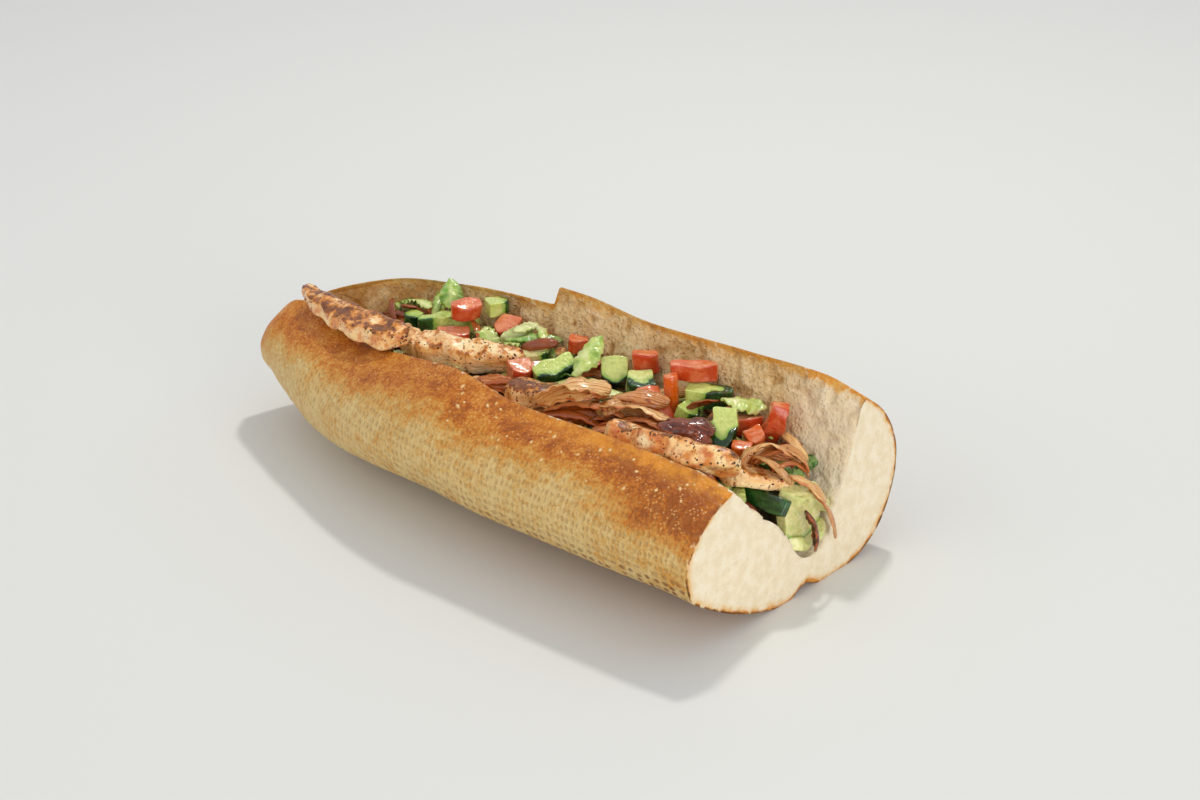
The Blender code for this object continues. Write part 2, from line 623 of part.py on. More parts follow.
def main():
    clear_scene()
    crust = material("crust", (0.62, 0.36, 0.14), 0.6)
    finishes = {
        "chicken": material("grilled_chicken", (0.72, 0.42, 0.20), 0.45),
        "cucumber": material("cucumber", (0.42, 0.58, 0.20), 0.3),
        "tomato": material("tomato", (0.78, 0.20, 0.10), 0.25),
        "onion": material("fried_onion", (0.55, 0.25, 0.12), 0.3),
        "lettuce": material("lettuce", (0.30, 0.55, 0.14), 0.4),
    }
    shapes = {"bread_roll": (*roll_shape(), crust), "lettuce_bed": (*bed_shape(), finishes["lettuce"])}
    heap = Heap()
    for name, (points, faces, finish) in shapes.items():
        add_object(name, points, faces, finish)
        heap.add(name, points, faces)
    for name in PUT_DOWN:
        kind = name.split("_")[0]
        seed = int(name.split("_")[1])
        if kind == "chicken":
            size, taper, place, turns = CHICKEN[name]
            points, faces = strip_of_meat(size, taper, seed)
        elif kind == "cucumber":
            size, place, turns = CUCUMBER[name]
            points, faces = block(size, 28, seed)
        elif kind == "tomato":
            size, place, turns = TOMATO[name]
            points, faces = block(size, 40, seed)
        elif kind == "onion":
            size, form, place, turns = ONION[name]
            points, faces = sheet(size, form, seed, 3)
        else:
            size, form, place, turns = LETTUCE[name]
            points, faces = sheet(size, form, seed, 1.8)
        yaw, pitch, roll = (math.radians(a) for a in turns)
        spin = np.array(Euler((roll, pitch, yaw)).to_matrix())
        points = points @ spin.T
        points = points - (points.min(axis=0) + points.max(axis=0)) / 2 + np.array(place) * MM
        shift = heap.room_for(grown(points, faces, GAP), faces)
        if shift is None:
            print(name, "finds no room")
            continue
        points = points + shift
        add_object(name, points, faces, finishes[kind])
        heap.add(name, points, faces)
    leaves = shreds(heap)
    fuse(bpy.data.objects["lettuce_bed"], leaves)
    print(len(leaves), "chopped leaves on the bed")


main()
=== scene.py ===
# %% [markdown]
# # A filled submarine roll
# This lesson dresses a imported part: a long white roll, split and laid open on its hinge, with grilled
# chicken, cucumber, tomato, lettuce and fried onion in the fold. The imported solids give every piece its
# size and place. Here each one is made again as a finer surface, worked out with numpy, and gets its finish.

import math

import bpy
import numpy as np
from mathutils import Euler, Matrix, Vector
from mathutils.bvhtree import BVHTree


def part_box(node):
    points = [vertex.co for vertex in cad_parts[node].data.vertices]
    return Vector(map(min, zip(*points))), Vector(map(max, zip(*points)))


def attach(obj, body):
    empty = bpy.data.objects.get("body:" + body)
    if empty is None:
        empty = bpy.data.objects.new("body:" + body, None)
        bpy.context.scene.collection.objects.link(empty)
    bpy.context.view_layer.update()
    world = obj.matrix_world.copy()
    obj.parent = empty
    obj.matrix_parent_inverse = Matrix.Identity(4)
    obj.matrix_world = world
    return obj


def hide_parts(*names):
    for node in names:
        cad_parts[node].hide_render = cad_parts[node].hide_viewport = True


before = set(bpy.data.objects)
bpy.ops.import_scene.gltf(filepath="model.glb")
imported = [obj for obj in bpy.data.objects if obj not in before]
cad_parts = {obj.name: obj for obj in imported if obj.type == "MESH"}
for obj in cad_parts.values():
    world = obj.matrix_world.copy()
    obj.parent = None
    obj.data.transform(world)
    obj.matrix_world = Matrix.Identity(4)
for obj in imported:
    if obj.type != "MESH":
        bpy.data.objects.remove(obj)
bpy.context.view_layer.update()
MM = 0.001

# %% [markdown]
# ## Camera
# The roll lies along X with its cut end at +X. The picture is taken from the front right and from above.
# A long lens far away keeps the far end of the roll nearly as large as the near one.

# %% Camera
VIEW_AZIMUTH = math.radians(40)
VIEW_ELEVATION = math.radians(25)
VIEW_PLACE = (0.66699354, -0.74249037, 0.50714191)
FOCAL_IN_PIXELS = 2706
PICTURE_WIDTH = 1200

backward = Vector(
    (
        math.sin(VIEW_AZIMUTH) * math.cos(VIEW_ELEVATION),
        -math.cos(VIEW_AZIMUTH) * math.cos(VIEW_ELEVATION),
        math.sin(VIEW_ELEVATION),
    )
)
camera = bpy.data.objects.new("camera", bpy.data.cameras.new("camera"))
bpy.context.scene.collection.objects.link(camera)
camera.location = VIEW_PLACE
camera.rotation_mode = "QUATERNION"
camera.rotation_quaternion = (-backward).to_track_quat("-Z", "Y")
camera.data.sensor_width = 36
camera.data.lens = FOCAL_IN_PIXELS / PICTURE_WIDTH * 36
camera.data.clip_start = 0.01
bpy.context.scene.camera = camera
print("lens", round(camera.data.lens, 1), "mm")

# %% [markdown]
# ## Floor and light
# A sheet of pale paper carries the roll. A small lamp stands high behind it, so a shadow with a clear edge
# falls to the front. A wider one lights the cut end from the right, and a wide weak one in front keeps the
# crust from going dark.


# %% Floor and light
def lamp(name, place, size, watts, colour):
    """A square lamp at a place, turned toward the middle of the roll."""
    light = bpy.data.lights.new(name, "AREA")
    light.size = size
    light.energy = watts
    light.color = colour
    made = bpy.data.objects.new(name, light)
    made.location = place
    made.rotation_euler = (Vector((0, 0, 0.03)) - Vector(place)).to_track_quat("-Z", "Y").to_euler()
    bpy.context.scene.collection.objects.link(made)
    return made


lamp("key", (-0.18, 0.55, 1.16), 0.10, 5.6, (1.0, 0.96, 0.90))
lamp("side", (1.3, -0.5, 0.38), 0.8, 7.6, (1.0, 0.98, 0.95))
lamp("front", (-0.35, -1.2, 0.7), 1.2, 4.1, (1.0, 0.98, 0.96))

sky = bpy.data.worlds.new("sky")
sky.use_nodes = True
sky.node_tree.nodes["Background"].inputs["Color"].default_value = (0.95, 0.96, 1.0, 1)
sky.node_tree.nodes["Background"].inputs["Strength"].default_value = 0.63
bpy.context.scene.world = sky
bpy.context.scene.view_settings.view_transform = "Standard"

floor_mesh = bpy.data.meshes.new("floor")
floor_mesh.from_pydata([(-6, -6, 0), (6, -6, 0), (6, 6, 0), (-6, 6, 0)], [], [(0, 1, 2, 3)])
floor = bpy.data.objects.new("floor", floor_mesh)
bpy.context.scene.collection.objects.link(floor)
paper = bpy.data.materials.new("paper")
paper.use_nodes = True
paper.node_tree.nodes["Principled BSDF"].inputs["Base Color"].default_value = (0.72, 0.73, 0.70, 1)
paper.node_tree.nodes["Principled BSDF"].inputs["Roughness"].default_value = 0.7
floor_mesh.materials.append(paper)

# %% [markdown]
# ## Ways to make a finish
# A finish is one Principled shader with a few texture nodes in front of it. This small class shortens the
# node work, so that each finish below reads as a recipe. Colours are written 0 to 255, as a picture shows them.


# %% Ways to make a finish
def colour(red, green, blue):
    """A linear colour from one written 0 to 255: each channel is raised by the display curve."""
    c = np.array([red, green, blue]) / 255
    c = np.where(c <= 0.04045, c / 12.92, ((c + 0.055) / 1.055) ** 2.4)
    return (*(float(v) for v in c), 1.0)


class Finish:
    """A Principled material, and short names for the nodes that feed it."""

    def __init__(self, name, soak=(), coat=(), **sockets):
        """Soak is how much light goes in, how far by channel, and over what depth in metres; coat is how wet
        and how rough the wet layer is."""
        self.material = bpy.data.materials.new(name)
        self.material.use_nodes = True
        self.tree = self.material.node_tree
        self.shader = self.tree.nodes["Principled BSDF"]
        soaked = zip(("Subsurface Weight", "Subsurface Radius", "Subsurface Scale"), soak)
        wet = zip(("Coat Weight", "Coat Roughness"), coat)
        for socket, value in (*soaked, *wet, *sockets.items()):
            self.shader.inputs[socket.replace("_", " ")].default_value = value
        self.place = self.node("TexCoord").outputs["Object"]

    def node(self, kind, inputs=None, **settings):
        """A new node; each of its inputs is set to a value, or linked where that is a socket."""
        made = self.tree.nodes.new("ShaderNode" + kind)
        for key, value in settings.items():
            setattr(made, key, value)
        for socket, value in (inputs or {}).items():
            if isinstance(value, bpy.types.NodeSocket):
                self.tree.links.new(value, made.inputs[socket])
            else:
                made.inputs[socket].default_value = value
        return made

    def noise(self, size, layers=2.0, at=None, stretch=(1, 1, 1)):
        """Cloudy noise about `size` metres across, 0 to 1."""
        at = at or self.place
        at = self.node("Mapping", {"Vector": at, "Scale": tuple(s / size for s in stretch)}).outputs[0]
        return self.node("TexNoise", {"Vector": at, "Scale": 1.0, "Detail": layers}).outputs[0]

    def cloud(self, size, layers, low, high, to_low=0.0, to_high=1.0, at=None, stretch=(1, 1, 1)):
        """Noise, made harder: `to_low` where it is below low, `to_high` above high, smooth between."""
        return self.step(self.noise(size, layers, at, stretch), low, high, to_low, to_high)

    def cells(self, size, uneven=1.0, at=None, stretch=(1, 1, 1), flat=False):
        """Distance to the nearest of scattered points about `size` metres apart."""
        at = at or self.place
        at = self.node("Mapping", {"Vector": at, "Scale": tuple(s / size for s in stretch)}).outputs[0]
        made = self.node("TexVoronoi", voronoi_dimensions="2D" if flat else "3D")
        self.tree.links.new(at, made.inputs["Vector"])
        made.inputs["Scale"].default_value = 1.0
        made.inputs["Randomness"].default_value = uneven
        return made.outputs["Distance"]

    def value(self, name):
        """A number stored on the surface's points."""
        return self.node("Attribute", attribute_name=name).outputs["Fac"]

    def vector(self, name):
        """A vector stored on the surface's points."""
        return self.node("Attribute", attribute_name=name).outputs["Vector"]

    def math(self, kind, a, b=0.0):
        """A number worked out from one or two others."""
        return self.node("Math", {0: a, 1: b}, operation=kind).outputs[0]

    def times(self, a, b):
        """One number times the other."""
        return self.math("MULTIPLY", a, b)

    def plus(self, a, b):
        """The two numbers added."""
        return self.math("ADD", a, b)

    def step(self, a, low, high, to_low=0.0, to_high=1.0):
        """0 below low, 1 above high and smooth between."""
        made = self.node("MapRange", {0: a, 1: low, 2: high, 3: to_low, 4: to_high})
        made.interpolation_type = "SMOOTHSTEP"
        return made.outputs[0]

    def mix(self, share, a, b):
        """Colour a where share is 0 and b where it is 1; each is a socket, or three numbers."""
        a, b = (c if isinstance(c, bpy.types.NodeSocket) else colour(*c) for c in (a, b))
        return self.node("Mix", {0: share, 6: a, 7: b}, data_type="RGBA").outputs[2]

    def ramp(self, share, first, last, **between):
        """The first colour where share is 0, the last where it is 1, and between them those named by
        hundredths: at_25 is the colour at 0.25."""
        made = self.node("ValToRGB", {0: share})
        line = made.color_ramp.elements
        line[0].color, line[1].color = colour(*first), colour(*last)
        for at, shade in between.items():
            line.new(int(at[3:]) / 100).color = colour(*shade)
        return made.outputs[0]

    def relief(self, height, depth, after=None):
        """Shading relief `depth` metres deep."""
        made = self.node("Bump", {"Height": height, "Distance": depth, "Strength": 1.0})
        if after:
            self.tree.links.new(after, made.inputs["Normal"])
        return made.outputs[0]

    def blend(self, share, a, b):
        """Relief a where share is 0 and b where it is 1."""
        return self.node("Mix", {0: share, 4: a, 5: b}, data_type="VECTOR").outputs[1]

    def wear(self, base=None, normal=None, roughness=None):
        """Plugs the finished colour, relief and roughness into the shader."""
        for socket, made in (("Base Color", base), ("Normal", normal), ("Roughness", roughness)):
            if made:
                self.tree.links.new(made, self.shader.inputs[socket])
        return self.material


print("a golden crust is", [round(c, 2) for c in colour(181, 120, 63)[:3]], "in linear light")

# %% [markdown]
# ## Ways to make a surface
# Every piece is an array of points and an array of triangles. A tube is a stack of rings closed by a pole
# at either end. Points are then moved along their normals by noise, which gives crust, crumb and meat their
# relief, and numbers such as how brown a spot is are stored on the points for the finish to read.


# %% Ways to make a surface
def smoothstep(t):
    """3t^2 - 2t^3 between 0 and 1, flat outside."""
    t = np.clip(t, 0.0, 1.0)
    return t * t * (3 - 2 * t)


def lattice_noise(points, size, seed=0):
    """Random numbers from -1 to 1 at the corners of cubes of this size, blended smoothly between them."""
    grid = np.asarray(points) / size + 1000.0
    cell = np.floor(grid).astype(np.int64)
    f = grid - cell
    f = f * f * (3 - 2 * f)
    table = np.random.default_rng(seed).uniform(-1, 1, 8192)

    def corner(i, j, k):
        key = (cell[..., 0] + i) * 73856093 ^ (cell[..., 1] + j) * 19349663 ^ (cell[..., 2] + k) * 83492791
        return table[key & 8191]

    total = 0.0
    for i in (0, 1):
        for j in (0, 1):
            for k in (0, 1):
                weight = 1.0
                for axis, side in enumerate((i, j, k)):
                    weight = weight * (f[..., axis] if side else 1 - f[..., axis])
                total = total + weight * corner(i, j, k)
    return total


def layered_noise(points, size, layers=3, seed=0):
    """Lattice noise summed at this size, half of it, a quarter and so on, each layer half as strong."""
    return sum(lattice_noise(points, size / 2**n, seed + n) / 2**n for n in range(layers)) / 1.6


def grid_triangles(rows, columns, wrap=False):
    """Two triangles for each cell of a grid of points, the last column joined to the first where it wraps."""
    i, j = np.meshgrid(np.arange(rows - 1), np.arange(columns if wrap else columns - 1), indexing="ij")
    a, b = i * columns + j, i * columns + (j + 1) % columns
    c, d = b + columns, a + columns
    return np.stack([np.stack([a, b, c], -1), np.stack([a, c, d], -1)], -2).reshape(-1, 3)


def tube(rings, start, end):
    """A stack of rings of points, with a pole at either end: points, and triangles that face out."""
    count, size = rings.shape[:2]
    points = np.vstack([rings.reshape(-1, 3), [start], [end]])
    ring = np.arange(size)
    after = (ring + 1) % size
    last = (count - 1) * size
    first_cap = np.stack([np.full(size, count * size), after, ring], -1)
    last_cap = np.stack([np.full(size, count * size + 1), last + ring, last + after], -1)
    return points, np.vstack([grid_triangles(count, size, wrap=True), first_cap, last_cap])


def normals_of(points, triangles):
    """Each point's mean of the normals of its triangles, weighted by their areas."""
    a, b, c = (points[triangles[:, k]] for k in range(3))
    face = np.cross(b - a, c - a)
    total = np.zeros_like(points)
    for k in range(3):
        np.add.at(total, triangles[:, k], face)
    return total / np.maximum(np.linalg.norm(total, axis=1, keepdims=True), 1e-20)


def roughened(points, amount, wavelength, seed):
    """Points moved by a seeded sum of three slow waves in each direction, the same ones as in the solids."""
    random = np.random.default_rng(seed)
    moved = points.copy()
    for axis in range(3):
        for _ in range(3):
            way = random.normal(size=3)
            way /= np.linalg.norm(way)
            phase = random.uniform(0, math.tau)
            moved[:, axis] += amount / 1.7 * np.sin(math.tau * (points @ way) / wavelength + phase)
    return moved


def turned(points, turns, middle):
    """Points turned about X, Y and then Z by degrees, and moved so that their box is centred on a place."""
    yaw, pitch, roll = (math.radians(a) for a in turns)
    points = points @ np.array(Euler((roll, pitch, yaw)).to_matrix()).T
    return points - (points.min(axis=0) + points.max(axis=0)) / 2 + np.array(middle)


def joined(shapes):
    """Several shapes as one: their arrays end to end, and each one's triangles counted on from the last."""
    starts = np.cumsum([0] + [len(shape[0]) for shape in shapes[:-1]])
    triangles = np.vstack([shape[1] + start for shape, start in zip(shapes, starts)])
    points, _, *stored = zip(*shapes)
    return np.vstack(points), triangles, *(np.concatenate(numbers) for numbers in stored)


def middle_of(node):
    """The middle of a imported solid's box."""
    low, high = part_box(node)
    return (low + high) / 2


def make_piece(name, points, triangles, finish, slot, stands_for=(), **stored):
    """A mesh object at the origin, riding on the root body, with its finish and its stored numbers."""
    mesh = bpy.data.meshes.new(name)
    mesh.from_pydata(points.tolist(), [], triangles.tolist())
    mesh.shade_smooth()
    mesh.materials.append(finish)
    for key, values in stored.items():
        vector = np.ndim(values) == 2
        layer = mesh.attributes.new(key, "FLOAT_VECTOR" if vector else "FLOAT", "POINT")
        values = values if vector else np.broadcast_to(values, len(points))
        values = np.ascontiguousarray(values, np.float32).ravel()
        layer.data.foreach_set("vector" if vector else "value", values)
    made = bpy.data.objects.new(name, mesh)
    bpy.context.scene.collection.objects.link(made)
    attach(made, "root")
    if stands_for:
        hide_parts(*stands_for)
    return made


some_points = np.random.default_rng(1).uniform(0, 1, (999, 3))
print("noise runs up to", round(float(np.abs(layered_noise(some_points, 0.1)).max()), 2))

# %% [markdown]
# ## The roll's form
# The roll is one surface. Cross-sections along X each have an outer outline, the crust, and an inner one,
# the torn crumb. Named sizes at a few stations say how wide and high each section is, and a smooth curve runs
# through them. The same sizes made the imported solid, so the fine surface lies on it.

# %% Sizes of the roll
HALF_LENGTH = 140 * MM
END_RUN = 45 * MM
HINGE_Y = 8 * MM
HINGE_NOTCH = 4 * MM
STEP_X = -19 * MM
STEP_RUN = 4 * MM
STEP_HEIGHT = 9 * MM
STEP_DEPTH = 1 * MM
SWELL_X = -75 * MM
SWELL_RUN = 110 * MM
WALL_HOLLOW = 4 * MM

# In millimetres, from the closed tip to the cut end.
STATION_X = (-140, -134, -122, -100, -70, -35, 0, 30, 80, 120, 140)
FRONT_BULGE_Y = (-8, -17, -24, -35, -48, -58, -63, -65.5, -67, -67.5, -67.5)
BACK_BULGE_Y = (-7, 12, 28, 45, 57, 63, 66, 67, 67.5, 67.5, 67.5)
FRONT_RIM_Y = (-7, -5, -3, -9, -17, -26, -33, -35.5, -37, -38.5, -39)
FRONT_RIM_Z = (33, 45, 54, 54.5, 53.5, 60.5, 66.5, 63, 64, 64, 61)
BACK_RIM_Y = (-6, 1, 10, 31, 40, 44, 45, 45.5, 46, 46, 45)
BACK_RIM_Z = (33, 44.5, 53, 59, 62, 64, 64.5, 61.5, 62.5, 63.5, 60)
BELLY_Z = (32, 18, 10, 2.5, -0.4, -0.6, -0.6, -0.6, -0.6, -0.6, -0.6)
VALLEY_Z = (33, 44, 51.5, 39, 22, 17, 16, 16, 16, 16, 16)

ROLL_STATIONS = 245
OUTLINE_POINTS = 178
CUT_COLUMNS = 40
print("the roll has", ROLL_STATIONS, "sections of", 2 * OUTLINE_POINTS - 2, "points")


# %% Curves through the stations
def along_roll(values, x):
    """A named size at each x, on cubics through the stations whose slopes are the mean slopes about them."""
    knots = np.array(STATION_X) * MM
    sizes = np.array(values, float) * MM
    slopes = np.diff(sizes) / np.diff(knots)
    ends = np.concatenate([[slopes[0]], (slopes[1:] + slopes[:-1]) / 2, [slopes[-1]]])
    limit = 2 * np.minimum(np.abs(np.append(slopes, slopes[-1])), np.abs(np.insert(slopes, 0, slopes[0])))
    ends = np.sign(ends) * np.minimum(np.abs(ends), limit)
    i = np.clip(np.searchsorted(knots, x) - 1, 0, len(knots) - 2)
    run = knots[i + 1] - knots[i]
    t = (x - knots[i]) / run
    return (
        (1 + 2 * t) * (1 - t) ** 2 * sizes[i]
        + t * (1 - t) ** 2 * run * ends[i]
        + t * t * (3 - 2 * t) * sizes[i + 1]
        + t * t * (t - 1) * run * ends[i + 1]
    )


def run_along(lines):
    """Distance along each line of points from its first point, as the running sum of its steps."""
    runs = np.linalg.norm(np.diff(lines, axis=1), axis=2)
    return np.concatenate([np.zeros((len(lines), 1)), np.cumsum(runs, axis=1)], axis=1)


def even_curves(controls, count):
    """For each row of control points, evenly spaced points on the Catmull-Rom curve through them."""
    p = controls
    p = np.concatenate([2 * p[:, :1] - p[:, 1:2], p, 2 * p[:, -1:] - p[:, -2:-1]], axis=1)
    t = np.linspace(0, 1, 24, endpoint=False)[None, None, :, None]
    a, b, c, d = (p[:, k : p.shape[1] - 3 + k, None, :] for k in range(4))
    fine = 0.5 * (2 * b + (c - a) * t + (2 * a - 5 * b + 4 * c - d) * t**2 + (3 * b - a - 3 * c + d) * t**3)
    fine = np.concatenate([fine.reshape(len(p), -1, p.shape[2]), p[:, -2:-1]], axis=1)
    lengths = run_along(fine)
    share = np.linspace(0, 1, count)
    out = np.empty((len(p), count, p.shape[2]))
    for row in range(len(p)):
        for k in range(p.shape[2]):
            out[row, :, k] = np.interp(share * lengths[row, -1], lengths[row], fine[row, :, k])
    return out


def roll_outlines(x, count):
    """Outer and inner outline of the roll at each x, as Y and Z, both from the front rim to the back rim."""
    full = smoothstep((x + HALF_LENGTH) / END_RUN)
    step = smoothstep((x - STEP_X) / STEP_RUN)
    front_bulge, back_bulge = along_roll(FRONT_BULGE_Y, x), along_roll(BACK_BULGE_Y, x)
    front_y, front_z = along_roll(FRONT_RIM_Y, x), along_roll(FRONT_RIM_Z, x)
    back_y, back_z = along_roll(BACK_RIM_Y, x), along_roll(BACK_RIM_Z, x)
    swell = back_z + STEP_HEIGHT * smoothstep((x - SWELL_X) / SWELL_RUN)
    back_z = back_z + STEP_HEIGHT * step
    belly, valley = along_roll(BELLY_Z, x), along_roll(VALLEY_Z, x)
    hinge = HINGE_Y * full + (front_bulge + back_bulge) / 2 * (1 - full)
    front, back = front_bulge - hinge, back_bulge - hinge
    rise_front, rise_back = front_z - belly, swell - belly
    rim_in, rim_out = front_y - front_bulge, back_y - back_bulge
    outer = [
        (front_y, front_z),
        (front_bulge + 0.42 * rim_in, belly + 0.87 * rise_front),
        (front_bulge + 0.06 * rim_in, belly + 0.66 * rise_front),
        (hinge + 0.95 * front, belly + 0.44 * rise_front),
        (hinge + 0.82 * front, belly + 0.31 * rise_front),
        (hinge + 0.58 * front, belly + 0.15 * rise_front),
        (hinge + 0.36 * front, belly + 0.05 * rise_front),
        (hinge + 0.15 * front, belly),
        (hinge, belly + HINGE_NOTCH * full),
        (hinge + 0.20 * back, belly),
        (hinge + 0.56 * back, belly + 0.02 * rise_back),
        (hinge + 0.82 * back, belly + 0.14 * rise_back),
        (hinge + 0.98 * back, belly + 0.36 * rise_back),
        (back_bulge + 0.03 * rim_out, belly + 0.60 * rise_back),
        (back_bulge + 0.42 * rim_out, belly + 0.84 * rise_back),
        (back_y, back_z),
    ]
    hollow = WALL_HOLLOW * smoothstep((HALF_LENGTH - x) / END_RUN)
    recess = (hollow + STEP_DEPTH * (1 - step)) * full
    front_foot = full * (HINGE_Y - 2 * MM) + (1 - full) * front_y
    back_foot = full * (HINGE_Y + 11 * MM) + (1 - full) * back_y
    floor_back = valley - 1 * MM * full
    down_y, down_z = front_y - front_foot, front_z - valley
    up_y, up_z = back_y - back_foot, back_z - floor_back
    inner = [
        (front_y, front_z),
        (front_foot + 0.66 * down_y, valley + 0.66 * down_z + 1 * MM * full),
        (front_foot + 0.30 * down_y, valley + 0.30 * down_z + 3 * MM * full),
        (front_foot, valley),
        (back_foot, floor_back),
        (back_foot + 0.30 * up_y + recess / 2, floor_back + 0.30 * up_z),
        (back_foot + 0.66 * up_y + recess, floor_back + 0.66 * up_z),
        (back_foot + 0.90 * up_y + recess - 2 * MM * full, floor_back + 0.90 * up_z),
        (back_y, back_z),
    ]
    lines = (np.stack([np.stack(pair, -1) for pair in line], axis=1) for line in (outer, inner))
    return [even_curves(line, count) for line in lines]


outer_line, _ = roll_outlines(np.array([0.0]), 100)
print("at the middle the crust is", round(float(run_along(outer_line)[0, -1] / MM)), "mm round")

# %% [markdown]
# ## The roll's surface
# The rings of outline points make a tube that is closed by a pole at the tip and by a ruled face at the cut.
# The crust gets slow lumps. The crumb gets coarse torn relief: noise that is stretched up the wall, with
# pores pressed in. For the finish each point stores how far it lies inside the crust's edge, how brown it
# is, how strong the marks of the baking tray are, and whether it is torn wall or clean cut.


# %% The roll's surface
def roll_surface():
    """Points and triangles of the roll, and the numbers its finish reads."""
    tip = -HALF_LENGTH + END_RUN * (1 - np.cos(np.linspace(0.10, math.pi / 2, 46)))
    body = np.linspace(tip[-1], HALF_LENGTH, ROLL_STATIONS - len(tip) + 1)[1:]
    x = np.concatenate([tip, body])
    outer, inner = roll_outlines(x, OUTLINE_POINTS)
    n = OUTLINE_POINTS
    full = smoothstep((x + HALF_LENGTH) / END_RUN)[:, None]
    arc_out, arc_in = run_along(outer), run_along(inner)
    from_rim_out = np.minimum(arc_out, arc_out[:, -1:] - arc_out)
    from_rim_in = np.minimum(arc_in, arc_in[:, -1:] - arc_in)
    on_flap = (np.linspace(0, 1, n)[None, :] * np.ones((len(x), 1)) > 0.5) * 1.0
    ring = np.concatenate([outer, inner[:, -2:0:-1]], axis=1)
    size = ring.shape[1]
    points = np.concatenate([np.repeat(x, size)[:, None], ring.reshape(-1, 2)], axis=1)

    def join(on_crust, on_crumb):
        """Numbers in the order of the rings' points: out along the crust, and back along the crumb."""
        return np.concatenate([on_crust, on_crumb[:, -2:0:-1]], axis=1).ravel()

    edge = join(-np.minimum(from_rim_out, HALF_LENGTH - x[:, None]), from_rim_in)
    arc = join(arc_out - arc_out[:, -1:] / 2, arc_in)
    rim = join(from_rim_out, from_rim_in * 0)
    fullness = full * np.ones((1, n))

    tip_outer, _ = roll_outlines(np.array([-HALF_LENGTH]), 3)
    tip_point = [-HALF_LENGTH, *tip_outer[0, 0]]
    last = (len(x) - 1) * size
    s = np.linspace(0, 1, CUT_COLUMNS + 1)[1:-1]
    a, b = outer[-1, 1:-1], inner[-1, 1:-1]
    across = a[:, None] * (1 - s)[None, :, None] + b[:, None] * s[None, :, None]
    cut = np.concatenate([np.full(across.shape[:2] + (1,), HALF_LENGTH), across], axis=2)
    width = np.linalg.norm(b - a, axis=1)
    depth_in = np.minimum(s[None, :] * width[:, None], from_rim_out[-1, 1:-1, None] * 0.7)
    base = len(points)
    points = np.vstack([points, cut.reshape(-1, 3), [tip_point]])
    pole = len(points) - 1

    index = np.empty((n, CUT_COLUMNS + 1), int)
    index[:, 0] = last + np.arange(n)
    index[1:-1, -1] = last + size - np.arange(1, n - 1)
    index[1:-1, 1:-1] = base + np.arange((n - 2) * (CUT_COLUMNS - 1)).reshape(n - 2, -1)
    index[0], index[-1] = last, last + n - 1
    a, b, c, d = index[:-1, :-1], index[1:, :-1], index[1:, 1:], index[:-1, 1:]
    cap = np.concatenate([np.stack(corners, -1).reshape(-1, 3) for corners in ((a, b, c), (a, c, d))])
    cap = cap[(cap[:, 0] != cap[:, 1]) & (cap[:, 1] != cap[:, 2]) & (cap[:, 0] != cap[:, 2])]
    ring_index = np.arange(size)
    tip_fan = np.stack([np.full(size, pole), (ring_index + 1) % size, ring_index], -1)
    triangles = np.vstack([grid_triangles(len(x), size, wrap=True), tip_fan, cap])

    def whole(on_tube, on_cut=0.0, at_tip=0.0):
        """A number for every point of the roll."""
        return np.concatenate([on_tube, np.broadcast_to(on_cut, depth_in.size), [at_tip]])

    stored = {
        "edge": whole(edge, depth_in.ravel(), -0.03),
        "rim": whole(rim, at_tip=0.05),
        "wall": whole(join(from_rim_out * 0, from_rim_in * 0 + 1)),
        "back": whole(join(on_flap, on_flap)),
        "full": whole(join(fullness, fullness), 1.0),
        "arc": whole(arc),
        "cut": whole(edge * 0, 1.0),
    }
    return points, triangles, stored


def bread_relief(points, stored):
    """How far each point moves out: slow crust lumps, and on the torn crumb bulges, tears and pressed-in
    pores. The crumb's height, from 0 to 1, is kept as painted shade: dark in pores, light on bulges."""
    edge, wall, cut = stored["edge"], stored["wall"], stored["cut"]
    inside = smoothstep(edge / (4 * MM))
    lumps = 0.45 * MM * layered_noise(points, 26 * MM, 2, 3) + 0.14 * MM * layered_noise(points, 5 * MM, 2, 5)
    torn = layered_noise(points * [1.0, 0.7, 0.6], 5.5 * MM, 3, 11)
    slow = layered_noise(points, 17 * MM, 2, 31)
    pores = smoothstep((lattice_noise(points * [1, 1, 0.7], 3.0 * MM, 41) - 0.1) / 0.5)
    tear = (1.0 * torn + 1.4 * slow - 1.1 * pores) * MM
    clean = 0.3 * slow * MM
    # This height becomes painted shade in the torn crumb's pores and painted light on its bulges.
    stored["relief_shading"] = np.clip(0.52 + 0.30 * torn + 0.12 * slow - 0.40 * pores, 0, 1)
    near_rim = smoothstep(stored["rim"] / (3 * MM))
    return (1 - inside) * lumps * (0.4 + 0.6 * near_rim) + inside * (wall * tear * stored["full"] + cut * clean)


roll_points, roll_triangles, roll_stored = roll_surface()
roll_normals = normals_of(roll_points, roll_triangles)
roll_points = roll_points + roll_normals * bread_relief(roll_points, roll_stored)[:, None]
roll_points[:, 2] = np.maximum(roll_points[:, 2], 0.0)
roll_points[:, 0] = np.clip(roll_points[:, 0], -HALF_LENGTH, HALF_LENGTH + 1.0 * MM)
print("the roll has", len(roll_triangles), "triangles")
